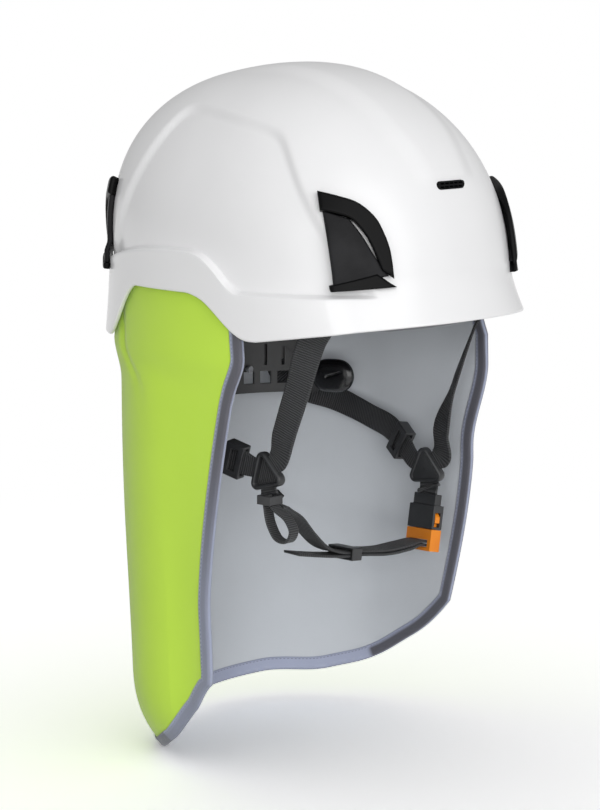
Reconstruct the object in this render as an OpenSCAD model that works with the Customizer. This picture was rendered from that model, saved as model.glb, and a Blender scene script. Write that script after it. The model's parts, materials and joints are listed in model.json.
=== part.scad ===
// Work helmet with a four-point chin harness, a sized headband and a hanging neck shade.
// Millimetres. The front is -Y, the wearer's left is +X, up is +Z.
// The origin is the middle of the head, in the plane of the headband.
// Angles round the helmet start at the front and grow towards the wearer's left.

/* [Shell] */
// Half width of the dome at its base
dome_half_w = 104; // [100:1:110]
// Reach of the dome in front of its centre
dome_front = 119; // [115:1:125]
// Reach of the dome behind its centre
dome_rear = 134; // [130:1:140]
// Height of the dome over its base
dome_h = 116; // [112:1:122]
// Height of the dome's base over the headband plane
dome_base_z = 10; // [8:1:12]
// Wall of the shell
shell_wall = 3; // [2.5:0.1:3.5]
// Rise of the crown ridge
ridge_h = 2.6; // [1.5:0.1:3.5]
// Half width of the crown ridge
ridge_half_w = 26; // [22:1:30]
// Depth of the side panels
panel_depth = 2; // [1:0.1:2.4]
// How far the lower band stands out
band_proud = 2.6; // [2:0.1:3]
// Width of the front vent
vent_w = 25; // [20:1:30]
// Height of the front vent
vent_h = 5; // [4:0.5:6]

/* [Brim] */
// Height of the brim's edge at the front
brim_front_z = -19; // [-24:1:-15]
// Height of the brim's edge in front of the ears
brim_side_z = -30; // [-34:1:-26]
// Height of the arch over the ears
ear_arch_z = -5; // [-8:1:-3]
// Height of the edge at the nape
nape_edge_z = -43; // [-46:1:-38]
// Flare of the brim at the front
brim_front_out = 29; // [20:1:34]

/* [Liner] */
// Thickness of the shock-absorbing liner
liner_t = 14; // [10:0.5:16]
// Gap between the liner and the shell's plain wall
liner_gap = 2.8; // [2.6:0.1:4]
// Thickness of the crown pads
crown_pad_t = 5; // [3:0.5:6]

/* [Clips] */
// Height of the lamp clips over the shell
clip_h = 5; // [4.5:0.25:7]
// Gap behind a clip's arm, for a lamp strap
clip_gap = 2.4; // [1.6:0.2:3]
// Seat of a clip over the shell
clip_seat = 0.3; // [0.2:0.1:0.5]

/* [Headband] */
// Half width of the headband
headband_half_w = 85; // [84:0.5:88]
// Half length of the headband
headband_half_l = 103; // [100:1:105]
// Height of the headband strip
headband_h = 28; // [24:1:32]
// Wall of the headband
headband_wall = 2; // [1.6:0.1:2.4]
// Thickness of the brow pad
brow_pad_t = 5; // [3:0.5:7]

/* [Nape cradle] */
// Room between the headband and the band ends
pivot_room = 2.8; // [2.4:0.1:3.4]
// Wall of the cradle
cradle_wall = 2.5; // [2:0.1:2.6]
// Height of the cradle's lower edge
cradle_low_z = -88; // [-90:1:-86]
// Angle between the cradle's ribs
rib_pitch = 9; // [8:0.5:10]
// Width of the windows between the ribs
window_w = 7.5; // [6:0.5:8.5]
// Height of the windows
window_h = 8; // [6:0.5:8.5]
// Thickness of the end pads
nape_pad_t = 9; // [7:0.5:11]
// Height of the end pads
nape_pad_h = 22; // [18:1:24]

/* [Size adjuster] */
// Thickness of a toothed band end
tail_t = 1.6; // [1.2:0.1:1.8]
// Height of a toothed band end
tail_h = 19; // [18.5:0.25:20]
// Size of a tooth (pitch diameter over tooth count)
tooth_module = 1; // [0.9:0.05:1.05]
// Teeth on the pinion
pinion_teeth = 9; // [9:2:9]
// Radius of the size knob
knob_r = 17; // [14:0.5:19]
// Thickness of the size knob
knob_t = 8; // [6:0.5:9]
// Radius of the nape pivot pins
pivot_r = 2.5; // [2:0.1:3]
// Clearance of running fits
run_gap = 0.06; // [0.03:0.01:0.09]
// Clearance between pieces that slide past each other
slide_gap = 0.5; // [0.4:0.05:0.6]

/* [Harness] */
// Width of the harness webbing
web_w = 16.5; // [14:0.5:17]
// Thickness of the webbing
web_t = 1.6; // [1.2:0.1:2]
// Width of the side loop's webbing
loop_w = 8; // [6:0.5:9]
// Clearance of webbing in a slot
web_gap = 0.4; // [0.3:0.05:0.6]
// Side of a strap divider
divider_side = 24; // [23.5:0.5:26]
// Thickness of a strap divider
divider_t = 6; // [5.5:0.25:7]
// Length of a strap slider
slider_l = 13; // [10:1:14]
// Length of the keeper on the chin strap
keeper_l = 9; // [7:1:11]

/* [Buckle] */
// Width of the buckle
buckle_w = 24; // [23.5:0.25:26]
// Thickness of the buckle
buckle_t = 8; // [7.5:0.25:9]
// Length of the buckle's socket
socket_l = 15; // [14.5:0.25:17]
// Length of the plug outside the socket
plug_l = 14; // [13.5:0.25:16]

/* [Neck shade] */
// Thickness of the shade's outer cloth
shade_t = 1.2; // [0.8:0.1:1.6]
// Thickness of the lining
lining_t = 0.8; // [0.6:0.1:1]
// Gap between the cloth layers
cloth_gap = 0.3; // [0.2:0.1:0.4]
// Half width of the shade at mid height
shade_half_w = 103; // [100:0.5:105]
// Reach of the shade behind the head
shade_back_y = 114; // [112:0.5:116]
// Height of the hem at the back
hem_back_z = -293; // [-300:1:-280]
// Height of the hem at the front corners
hem_front_z = -238; // [-250:1:-225]
// Width of the edge binding
binding_w = 7; // [5:0.5:9]
// Thickness of the edge binding
binding_t = 0.9; // [0.6:0.1:1.2]

/* [Hidden] */

// Powers of the dome: profile from base to crown, and plan
profile_n = 2.25;
plan_n = 2.3;
// Centre of the plan, and how far the crown leans back
plan_y = -9;
crown_back = 15;
// Flare of the wall at the sides and the rear
side_out = 4;
rear_out = 2.5;
// Columns round the shell, and rows on its dome
shell_cols = 88;
dome_rows = 18;
// Side panel: rear foot, rear corner, front corner and front foot, as [y, z]
panel_rear_foot = [68, 54];
panel_rear_top = [37, 107];
panel_front_top = [-48, 94];
panel_front_foot = [-82, 44];
panel_edge = 7;
panel_round = 5;
// Height of the vent's middle
vent_z = 58.5;

// Centre of the nape arcs, and the height of the toothed strips
nape_y = 7;
rack_z = -60;
// Place of the nape pivots
pivot_z = -12;
// Half angle of the cradle's wall and of the adjuster's housing
cradle_half = 58;
housing_half = 24;
cradle_r = headband_half_w - headband_wall - pivot_room - 2 * tail_t - 2 * slide_gap - cradle_wall;
tail_left_r = cradle_r + cradle_wall + slide_gap;
tail_right_r = tail_left_r + tail_t + slide_gap;
tails_out_r = tail_right_r + tail_t;
housing_in_r = cradle_r + cradle_wall + 0.2;
channel_r = tails_out_r + 1;
housing_out_r = channel_r + 3.5;
pinion_back = tails_out_r + 0.4;
pinion_pitch_r = tooth_module * pinion_teeth / 2;
pinion_tip_r = pinion_pitch_r + 0.9 * tooth_module;
pinion_root_r = pinion_pitch_r - 1.2 * tooth_module;
shaft_r = 2.6;
knob_y0 = nape_y + housing_out_r + 0.4;
head_gap = 0.3;
crown_gap = 1.2;

// Webbing routes, from the top down, and the way the webbing's width lies
right_divider = [-72, -33, -114];
left_divider = [70, -40, -129];
keeper_at = [-1.6, -34, -172];
keeper_slope = -0.1;
buckle_at = [62.3, -45, -166];
buckle_up = [0.2, 0.02, 1];
buckle_across = [0.2, 1, 0];
buckle_turn = frame_of(buckle_up, buckle_across);

function spow(v, p) = sign(v) * pow(abs(v), p);
function lerp(a, b, t) = a + (b - a) * t;
function smooth(a, b, x) = let(t = min(1, max(0, (x - a) / (b - a)))) t * t * (3 - 2 * t);
function unit(v) = v / norm(v);
function turn180(t) = let(m = t - 360 * floor(t / 360)) m > 180 ? 360 - m : m;
function frame_of(up, across) = let(u = unit(up), n = unit(cross(across, u)), a = cross(u, n)) [a, n, u];
function place(f, at, p) = at + f[0] * p.x + f[1] * p.y + f[2] * p.z;

// A point of a plan outline: superellipse with its own reach at the front and the rear.
function plan(t, hx, hf, hr, yc) =
    [hx * spow(sin(t), 2 / plan_n), yc - (cos(t) > 0 ? hf : hr) * spow(cos(t), 2 / plan_n)];

// The plain wall of the shell at an angle and a height, pushed out by d along its normal.
function wall_share(z) = pow(max(0, (dome_base_z - z) / (dome_base_z - nape_edge_z)), 1.5);
function wall_at(t, z, d = 0) =
    let(s = min(1, max(0, (z - dome_base_z) / dome_h)))
    let(c = pow(max(0, 1 - pow(s, profile_n)), 1 / profile_n))
    let(f = z < dome_base_z ? wall_share(z) : 0)
    let(hx = dome_half_w * c + side_out * f, hf = dome_front * c + brim_front_out * f)
    let(hr = dome_rear * c + rear_out * f, yc = plan_y + crown_back * s)
    let(p = plan(t, hx, hf, hr, yc), hy = cos(t) > 0 ? dome_front : dome_rear)
    let(n = unit([p.x / pow(dome_half_w, 2), (p.y - yc) / pow(hy, 2), s * 1.2 / dome_h + 0.0000001]))
    [p.x, p.y, z] + d * n;

// Height of the brim's edge and of the band's upper line round the helmet.
function edge_z(t) =
    let(a = turn180(t))
    let(front = brim_front_z + (brim_side_z - brim_front_z) * pow(min(1, a / 74), 2.2))
    lerp(lerp(front, ear_arch_z, smooth(76, 93, a)), nape_edge_z, smooth(107, 131, a));
function band_z(t) =
    let(a = turn180(t)) lerp(-1.5, 21, smooth(78, 92, a)) - 18 * smooth(97, 165, a);
function band_out(t) = band_proud * smooth(44, 52, turn180(t));

// Relief of the dome: the crown ridge, and the panels sunk in its sides.
function inside_line(p, a, b) = let(d = unit(b - a)) d.x * (p[1] - a[1]) - d.y * (p[0] - a[0]);
function panel_at(p) =
    let(q = [p.y, p.z])
    let(d = [inside_line(q, panel_rear_top, panel_rear_foot), inside_line(q, panel_front_top, panel_rear_top),
        inside_line(q, panel_front_foot, panel_front_top)])
    let(near = -panel_round * ln(exp(d[0] / panel_round) + exp(d[1] / panel_round) + exp(d[2] / panel_round)))
    -panel_depth * smooth(0, panel_edge, near);
function ridge_at(p) =
    let(half = ridge_half_w - 6 * smooth(-85, -112, p.y))
    ridge_h * (1 - smooth(half - 3, half + 4, abs(p.x))) * smooth(vent_z, vent_z + 6, p.z)
        * (1 - smooth(-5, 45, p.y));
function relief(p) = ridge_at(p) + panel_at(p);

// One row of the shell's skin at an angle: [height, push along the normal].
function shell_row(k, t) =
    let(zt = band_z(t), ze = edge_z(t), top = dome_base_z + dome_h)
    k <= dome_rows
    ? let(z = zt + (top - zt) * cos(90 * k / dome_rows)) [z, relief(wall_at(t, z))]
    : k == dome_rows + 1 ? [zt - 1.6, band_out(t)]
    : let(share = (k - dome_rows - 1) / 4) [lerp(zt - 1.6, ze + 1, share), band_out(t)];
shell_rows = dome_rows + 5;
shell_angles = [for (i = [0 : shell_cols - 1]) -i * 360 / shell_cols];
function shell_ring(k, d) = [for (t = shell_angles) let(r = shell_row(k, t)) wall_at(t, r[0], r[1] + d)];
function edge_ring(d) = [for (t = shell_angles) wall_at(t, edge_z(t), band_out(t) + d)];
function pole(d) = [0, plan_y + crown_back, dome_base_z + dome_h + d];
function crown_pole(d) = pole(d + relief(pole(0)));

// A closed skin over rings of equal count, ended by poles or by flat caps.
module skin(rings, pole_a = undef, pole_b = undef) {
    n = len(rings[0]);
    last = len(rings) - 1;
    all = [for (r = rings) each r];
    ends = [is_undef(pole_a) ? [0, 0, 0] : pole_a, is_undef(pole_b) ? [0, 0, 0] : pole_b];
    base = len(all);
    sides = [for (k = [0 : last - 1], i = [0 : n - 1])
        let(j = (i + 1) % n, a = k * n + i, b = k * n + j, c = a + n, d = b + n) each [[a, d, b], [a, c, d]]];
    cap_a = is_undef(pole_a)
        ? [for (i = [1 : n - 2]) [0, i, i + 1]]
        : [for (i = [0 : n - 1]) [base, i, (i + 1) % n]];
    cap_b = is_undef(pole_b)
        ? [for (i = [1 : n - 2]) [last * n, last * n + i + 1, last * n + i]]
        : [for (i = [0 : n - 1]) [base + 1, last * n + (i + 1) % n, last * n + i]];
    polyhedron(concat(all, is_undef(pole_a) ? [] : ends), concat(sides, cap_a, cap_b));
}

// A closed slab between two grids of equal size, the first of them outside.
module slab(outer, inner) {
    rows = len(outer);
    cols = len(outer[0]);
    n = rows * cols;
    pts = concat([for (r = outer) each r], [for (r = inner) each r]);
    cells = [for (k = [0 : rows - 2], i = [0 : cols - 2]) k * cols + i];
    front = [for (a = cells) each [[a, a + cols + 1, a + 1], [a, a + cols, a + cols + 1]]];
    back = [for (f = front) [f[0] + n, f[2] + n, f[1] + n]];
    rim = concat([for (i = [0 : cols - 1]) i], [for (k = [1 : rows - 1]) k * cols + cols - 1],
        [for (i = [cols - 2 : -1 : 0]) (rows - 1) * cols + i], [for (k = [rows - 2 : -1 : 1]) k * cols]);
    side = [for (i = [0 : len(rim) - 1]) let(a = rim[i], b = rim[(i + 1) % len(rim)])
        each [[a, b, b + n], [a, b + n, a + n]]];
    polyhedron(pts, concat(front, back, side));
}

// A patch that follows the shell: grid corners as angle and height, pushed by two depths.
module wall_patch(t0, t1, z0, z1, d_in, d_out, cols = 8, rows = 4) {
    function grid(d) = [for (k = [0 : rows]) [for (i = [0 : cols])
        wall_at(lerp(t1, t0, i / cols), lerp(z1, z0, k / rows), d)]];
    slab(grid(d_out), grid(d_in));
}

// Smooth curve through points chosen by hand; the slope at a point favours its shorter side.
function slope_at(p, i) =
    let(last = len(p) - 1, k = min(last - 1, max(0, i)))
    i == 0 || i == last ? unit(p[min(last, k + 1)] - p[k])
    : let(a = p[i] - p[i - 1], b = p[i + 1] - p[i], ha = norm(a), hb = norm(b))
        (a * hb / ha + b * ha / hb) / (ha + hb);
function curve_at(p, i, t) =
    let(b = p[i], c = p[i + 1], h = norm(c - b), m = slope_at(p, i) * h, n = slope_at(p, i + 1) * h)
    let(q = t * t, r = q * t)
    b * (2 * r - 3 * q + 1) + m * (r - 2 * q + t) + c * (3 * q - 2 * r) + n * (r - q);
function curve(p, steps) =
    concat([for (i = [0 : len(p) - 2], k = [0 : steps - 1]) curve_at(p, i, k / steps)], [p[len(p) - 1]]);
function blend(v, steps) =
    concat([for (i = [0 : len(v) - 2], k = [0 : steps - 1])
        lerp(unit(v[i]), unit(v[i + 1]), smooth(0, 1, k / steps))], [v[len(v) - 1]]);

// Flat webbing along a route; the width lies along the directions given at the route's points.
module webbing(route, across, w, t, steps = 4) {
    p = curve(route, steps);
    a = blend(across, steps);
    last = len(p) - 1;
    rings = [for (i = [0 : last])
        let(along = unit(p[min(last, i + 1)] - p[max(0, i - 1)]))
        let(n = unit(cross(along, a[i])), s = cross(n, along))
        [p[i] + s * w / 2 + n * t / 2, p[i] - s * w / 2 + n * t / 2, p[i] - s * w / 2 - n * t / 2,
            p[i] + s * w / 2 - n * t / 2]];
    skin(rings);
}

// Sets a piece in a frame: its X across, its Y through and its Z along.
module set_in(f, at) {
    multmatrix([[f[0].x, f[1].x, f[2].x, at.x], [f[0].y, f[1].y, f[2].y, at.y],
        [f[0].z, f[1].z, f[2].z, at.z], [0, 0, 0, 1]])
        children();
}

// A slot outline with round ends.
module stadium(l, h) {
    square([l - h, h], center = true);
    for (s = [-1, 1])
        translate([s * (l - h) / 2, 0]) circle(d = h, $fn = 48);
}

// A triangle with round corners, drawn from its corner centres.
module round_triangle(side, r) {
    high = side * sqrt(3) / 2;
    c = [[-side / 2, -high / 3], [side / 2, -high / 3], [0, 2 * high / 3]];
    out = [for (i = [0 : 2]) let(d = unit(c[(i + 1) % 3] - c[i])) r * [d.y, -d.x]];
    polygon([for (i = [0 : 2]) each [c[i] + out[i], c[(i + 1) % 3] + out[i]]]);
    for (p = c)
        translate(p) circle(r = r, $fn = 48);
}

// Part of a ring round the nape's axis, drawn as a half profile.
module nape_arc(from, to) {
    translate([0, nape_y, 0])
        rotate([0, 0, 90 - to])
            rotate_extrude(angle = to - from, $fn = 160)
                children();
}

module outer_shell() {
    color("white")
        difference() {
            skin(concat([for (k = [1 : shell_rows]) shell_ring(k, 0)],
                [edge_ring(-1), edge_ring(1 - shell_wall)],
                [for (k = [shell_rows : -2 : 3]) shell_ring(k, -shell_wall)]),
                crown_pole(0), crown_pole(-shell_wall));
            vent_cut(0);
        }
}

module vent_cut(gap) {
    translate([0, plan_y - dome_front + 20, vent_z])
        rotate([90, 0, 0])
            linear_extrude(30)
                stadium(vent_w - 2 * gap, vent_h - 2 * gap);
}

module eps_liner() {
    cols = 48;
    low = dome_base_z + 2;
    top = dome_base_z + dome_h;
    out = -shell_wall - liner_gap;
    function ring(k, d) = [for (i = [0 : cols - 1])
        wall_at(-i * 360 / cols, low + (top - low) * cos(90 * k / 9), d)];
    color("dimgray")
        skin(concat([for (k = [1 : 9]) ring(k, out)], [for (k = [9 : -1 : 1]) ring(k, out - liner_t)]),
            pole(out), pole(out - liner_t));
}

module front_vent_insert() {
    gap = 0.25;
    slat = 0.8;
    face_y = wall_at(0, vent_z).y;
    color("black")
        translate([0, face_y + 4, vent_z])
            rotate([90, 0, 0])
                linear_extrude(4.6)
                    difference() {
                        stadium(vent_w - 2 * gap, vent_h - 2 * gap);
                        for (i = [-2 : 2], s = [-1, 1])
                            translate([i * vent_w / 6, s * vent_h / 5])
                                square([vent_w / 6 - slat, vent_h / 5], center = true);
                    }
}

// Lamp clip: a plate on the shell with a raised panel, and an arm with its free tip at the bottom.
// Angles and heights are those of the front right clip, as seen from the front.
clip_inner_t = 49;
clip_tip_t = 28;
clip_low_z = 3;
clip_tip_z = 9;
clip_top_inner_z = 57;
clip_top_outer_z = 50;
slit_share = 0.7;
module lamp_clip(side, rear) {
    cols = 12;
    rows = 8;
    shares = [0, 0.06, 0.1, 0.3, 0.5, 0.62, slit_share - 0.02, slit_share + 0.01, slit_share + 0.05,
        slit_share + 0.08, 0.88, 0.96, 1];
    function turn(t) = side * (rear ? 180 - t * 0.92 : t);
    function outer_t(z) =
        clip_tip_t + 10 * pow(max(0, (z - clip_tip_z) / (clip_top_outer_z - clip_tip_z)), 2.4);
    function spot(u, v) =
        let(z = lerp(clip_low_z, lerp(clip_top_inner_z, clip_top_outer_z, u), v))
        [turn(lerp(clip_inner_t, outer_t(z), u)), z];
    function is_arm(u, v) = u > slit_share + 0.06 && v < 0.8 ? 1 : 0;
    function in_slit(u, v) = u > slit_share && u < slit_share + 0.06 && v < 0.85 ? 1 : 0;
    function top_d(u, v) =
        let(rim = min(1, u / 0.1, (1 - u) / 0.12, v / 0.12, (1 - v) / 0.12))
        in_slit(u, v) == 1 ? clip_seat + 1.2
        : clip_seat + (u > slit_share ? clip_h : clip_h - 1.5) * (0.45 + 0.55 * sqrt(max(0, rim)));
    function low_d(u, v) =
        is_arm(u, v) == 1 && v < 0.75
        ? clip_seat + min(clip_gap, 0.4 * clip_h) * min(1, 1.3 - v)
        : clip_seat;
    function grid(top) = [for (k = [0 : rows]) [for (i = [0 : cols])
        let(u = shares[side * (rear ? -1 : 1) < 0 ? cols - i : i], v = 1 - k / rows, q = spot(u, v))
        wall_at(q[0], q[1], (top ? top_d(u, v) : low_d(u, v)) + (rear ? band_lift(q) : 0))]];
    function band_lift(q) = band_out(q[0]) * (1 - smooth(band_z(q[0]) + 1, band_z(q[0]) + 9, q[1]));
    color("black")
        slab(grid(true), grid(false));
}

module lamp_clip_front_right() lamp_clip(-1, false);
module lamp_clip_front_left() lamp_clip(1, false);
module lamp_clip_rear_right() lamp_clip(-1, true);
module lamp_clip_rear_left() lamp_clip(1, true);

module crown_pads() {
    d = -shell_wall - liner_gap - liner_t - crown_gap;
    color("darkslategray")
        for (t = [-62, 0, 62, 180])
            wall_patch(t - 13, t + 13, 66, 104, d - crown_pad_t, d, 6, 5);
}

// Plan of the headband, pulled in by d.
headband_y = -4;
function band_plan(t, d) = plan(t, headband_half_w - d, headband_half_l - d, headband_half_l - d, headband_y);
headband_low = -headband_h + 2;
anchor_front_t = 52;
anchor_rear_t = 152;
hanger_w = 12;
module headband() {
    cols = 96;
    ring = [for (i = [0 : cols - 1]) i * 360 / cols];
    color("dimgray")
        difference() {
            union() {
                translate([0, 0, headband_low])
                    linear_extrude(headband_h)
                        difference() {
                            polygon([for (t = ring) band_plan(t, 0)]);
                            polygon([for (t = ring) band_plan(t, headband_wall)]);
                        }
                for (s = [-1, 1], t = [anchor_front_t, anchor_rear_t])
                    hanger(s * t);
            }
            for (s = [-1, 1])
                translate([s * headband_half_w, nape_y, pivot_z])
                    rotate([0, 90, 0])
                        cylinder(r = pivot_r + run_gap, h = 30, center = true, $fn = 64);
        }
}

// Where a strap anchor sits on the shell's inner wall: [point, outward direction].
anchor_z = 0;
function anchor_frame(t) =
    let(a = wall_at(t - 4, anchor_z), b = wall_at(t + 4, anchor_z), d = unit(b - a))
    [unit([d.x, d.y, 0]), unit([d.y, -d.x, 0]), [0, 0, 1]];
anchor_t = 4;
anchor_w = 28;
anchor_h = 20;
anchor_back = 5;
function anchor_place(t) = let(f = anchor_frame(t)) wall_at(t, anchor_z) - f[1] * (shell_wall + anchor_back);
module hanger(t) {
    f = anchor_frame(t);
    p = anchor_place(t);
    q = band_plan(t, headband_wall / 2);
    reach = f[1] * (p - [q.x, q.y, anchor_z]) - anchor_t - head_gap;
    set_in(f, [p.x, p.y, 0] - f[1] * (anchor_t + head_gap))
        translate([-hanger_w / 2, -reach, anchor_z - 4])
            cube([hanger_w, reach, 3]);
}

module strap_anchor(t, boss_z) {
    boss_l = anchor_back - 1.9;
    color("black")
        set_in(anchor_frame(t), anchor_place(t))
            difference() {
                union() {
                    translate([-anchor_w / 2, -anchor_t, -anchor_h / 2]) cube([anchor_w, anchor_t, anchor_h]);
                    for (s = [-1, 1])
                        translate([s * anchor_w / 3, -0.1, boss_z])
                            rotate([-90, 0, 0])
                                cylinder(r = 3, h = boss_l + 0.1, $fn = 32);
                }
                translate([0, -anchor_t / 2, -anchor_h / 2])
                    cube([web_w + 2 * web_gap, web_t + 2 * web_gap, anchor_h], center = true);
            }
}

module strap_anchor_front_right() strap_anchor(-anchor_front_t, 0);
module strap_anchor_front_left() strap_anchor(anchor_front_t, 0);
module strap_anchor_rear_right() strap_anchor(-anchor_rear_t, 5);
module strap_anchor_rear_left() strap_anchor(anchor_rear_t, 5);

// Where webbing hangs out of an anchor: points straight below each other, from the end inside the slot.
function anchor_mouth(t) =
    let(f = anchor_frame(t), p = anchor_place(t) - f[1] * anchor_t / 2)
    [for (drop = [1.2, 5, 9, 13]) p + [0, 0, -drop]];
function four(v) = [v, v, v, v];

module brow_pad() {
    cols = 16;
    reach = 62;
    low = headband_low + 2;
    high = headband_low + headband_h - 2;
    rows = 4;
    function grid(d) = [for (k = [0 : rows]) [for (i = [0 : cols])
        let(t = lerp(reach, -reach, i / cols), e = 2 * k / rows - 1, g = 2 * i / cols - 1)
        let(swell = d * sqrt(max(0.1, 1 - pow(e, 4))) * sqrt(max(0.15, 1 - pow(g, 8))))
        let(p = band_plan(t, headband_wall + head_gap + swell)) [p.x, p.y, lerp(high, low, k / rows)]]];
    color("darkslategray")
        slab(grid(0), grid(brow_pad_t));
}

// Nape pivot pin: a shouldered pin through the headband, with a head inside the band end's eye.
function tail_r(side) = side > 0 ? tail_left_r : tail_right_r;
eye_gap = 0.7;
module nape_pivot_pin(side) {
    r = tail_r(side);
    inner = r - eye_gap - 2.2;
    outer = headband_half_w + 0.4;
    shoulder = r + tail_t + eye_gap;
    color("silver")
        translate([0, nape_y, pivot_z])
            rotate([0, side * 90, 0]) {
                translate([0, 0, inner]) cylinder(r = pivot_r + 2, h = 2.2, $fn = 64);
                translate([0, 0, inner]) cylinder(r = pivot_r, h = outer - inner + 1.6, $fn = 64);
                translate([0, 0, shoulder])
                    cylinder(r = pivot_r + 1.6, h = headband_half_w - headband_wall - 0.9 - shoulder,
                        $fn = 64);
                translate([0, 0, outer]) cylinder(r = pivot_r + 1.6, h = 1.6, $fn = 64);
            }
}

module nape_pivot_pin_right() nape_pivot_pin(-1);
module nape_pivot_pin_left() nape_pivot_pin(1);

// Nape cradle: a curved wall with ribs, windows and a lower bar, cut away towards its ends.
cradle_top_z = -38;
bar_h = 6;
module nape_cradle() {
    high = cradle_top_z - cradle_low_z;
    color("#242628")
        difference() {
            nape_arc(-cradle_half, cradle_half)
                translate([cradle_r, cradle_low_z]) square([cradle_wall, high]);
            for (i = [-5.5 : 5.5])
                rib_cut(i * rib_pitch, cradle_low_z + bar_h, window_w, window_h);
            for (i = [-4.5 : 4.5])
                if (abs(i) * rib_pitch > housing_half + 4)
                    rib_cut(i * rib_pitch, cradle_low_z + bar_h + window_h + 4, 2, 14);
            for (s = [-1, 1])
                translate([s * 0.762 * cradle_r, nape_y, cradle_low_z + nape_pad_h - 1])
                    rotate([0, s * 50, 0])
                        translate([-60, 0, 0])
                            cube([120, 120, 60]);
            rotate([-90, 0, 0])
                translate([0, -rack_z, 0])
                    cylinder(r = shaft_r + run_gap, h = 120, $fn = 64);
            for (x = [-1, 1], z = [-1, 1])
                screw_place(x, z) cylinder(r = screw_r + run_gap, h = 30, center = true, $fn = 32);
        }
}

module rib_cut(angle, low, w, h) {
    translate([0, nape_y, 0])
        rotate([0, 0, -angle])
            translate([-w / 2, cradle_r - 5, low])
                cube([w, cradle_wall + 10, h]);
}

// End pad of the cradle: a curved plate with round ends that follows the cradle's arc.
nape_pad_l = 29;
nape_pad_mid = cradle_half + 8;
module nape_pad(side) {
    r = cradle_r + cradle_wall / 2;
    mid_z = cradle_low_z + nape_pad_h / 2;
    fit = 0.1;
    color("#1c1d20")
        rotate_side(side)
            difference() {
                intersection() {
                    nape_arc(nape_pad_mid - 25, nape_pad_mid + 25)
                        translate([r - nape_pad_t / 2, mid_z - nape_pad_h])
                            square([nape_pad_t, 2 * nape_pad_h]);
                    translate([0, nape_y, mid_z])
                        rotate([-90, 0, -nape_pad_mid])
                            linear_extrude(2 * r)
                                stadium(nape_pad_l, nape_pad_h);
                }
                nape_arc(nape_pad_mid - 30, cradle_half + fit)
                    translate([cradle_r - fit, mid_z - nape_pad_h])
                        square([cradle_wall + 2 * fit, 2 * nape_pad_h]);
            }
}

module rotate_side(side) {
    if (side > 0)
        children();
    else
        mirror([1, 0, 0]) children();
}

module nape_pad_right() nape_pad(-1);
module nape_pad_left() nape_pad(1);

// Adjuster housing: a cover over the two toothed band ends, with the knob's shaft hole.
housing_half_h = tail_h / 2 + slide_gap + 4;
screw_r = 1.4;
module adjuster_housing() {
    color("#1c1d20")
        difference() {
            nape_arc(-housing_half, housing_half)
                translate([housing_in_r, rack_z - housing_half_h])
                    square([housing_out_r - housing_in_r, 2 * housing_half_h]);
            nape_arc(-housing_half - 2, housing_half + 2)
                translate([housing_in_r - 2, rack_z - tail_h / 2 - slide_gap])
                    square([channel_r - housing_in_r + 2, tail_h + 2 * slide_gap]);
            rotate([-90, 0, 0])
                translate([0, -rack_z, 0])
                    cylinder(r = shaft_r + run_gap, h = 130, $fn = 64);
            for (x = [-1, 1], z = [-1, 1])
                screw_place(x, z) cylinder(r = screw_r + run_gap, h = 30, center = true, $fn = 32);
        }
}

// Screws join the housing's corners to the cradle, along Y.
screw_x = 0.367 * cradle_r;
screw_z = tail_h / 2 + slide_gap + 2;
module screw_place(x, z) {
    translate([x * screw_x, nape_y + sqrt(pow(cradle_r, 2) - pow(screw_x, 2)), rack_z + z * screw_z])
        rotate([-90, 0, 0])
            children();
}

module adjuster_screws() {
    color("silver")
        for (x = [-1, 1], z = [-1, 1])
            screw_place(x, z) {
                translate([0, 0, -1.6]) cylinder(r = screw_r, h = 10.6, $fn = 32);
                translate([0, 0, -3.4]) cylinder(r = screw_r + 0.9, h = 2, $fn = 32);
            }
}

// Size knob: a ribbed wheel on a shaft that turns in the cradle and the housing.
knob_ribs = 20;
module size_knob() {
    color("#242628")
        translate([0, knob_y0, rack_z])
            rotate([-90, 0, 0]) {
                linear_extrude(knob_t)
                    difference() {
                        circle(r = knob_r, $fn = 96);
                        for (i = [0 : knob_ribs - 1])
                            rotate(i * 360 / knob_ribs)
                                translate([knob_r + 0.6, 0]) circle(r = 1.5, $fn = 24);
                    }
                translate([0, 0, pinion_back - housing_out_r - 0.4])
                    cylinder(r = shaft_r, h = housing_out_r - pinion_back + 1, $fn = 64);
            }
}

// Pinion: trapezoid teeth that mesh with the upper rack of one band end and the lower rack of the other.
module pinion() {
    front = cradle_r + cradle_wall + 0.3;
    color("goldenrod")
        translate([0, nape_y, rack_z])
            rotate([-90, 0, 0]) {
                translate([0, 0, front])
                    linear_extrude(pinion_back - front) {
                        circle(r = pinion_root_r, $fn = 64);
                        for (i = [0 : pinion_teeth - 1])
                            rotate(i * 360 / pinion_teeth - 90)
                                polygon([[0, -1.05], [pinion_root_r, -1.0], [pinion_tip_r, -0.34],
                                    [pinion_tip_r, 0.34], [pinion_root_r, 1.0], [0, 1.05]] * tooth_module);
                    }
                translate([0, 0, cradle_r + 0.2]) cylinder(r = shaft_r, h = front - cradle_r, $fn = 64);
            }
}

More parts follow.
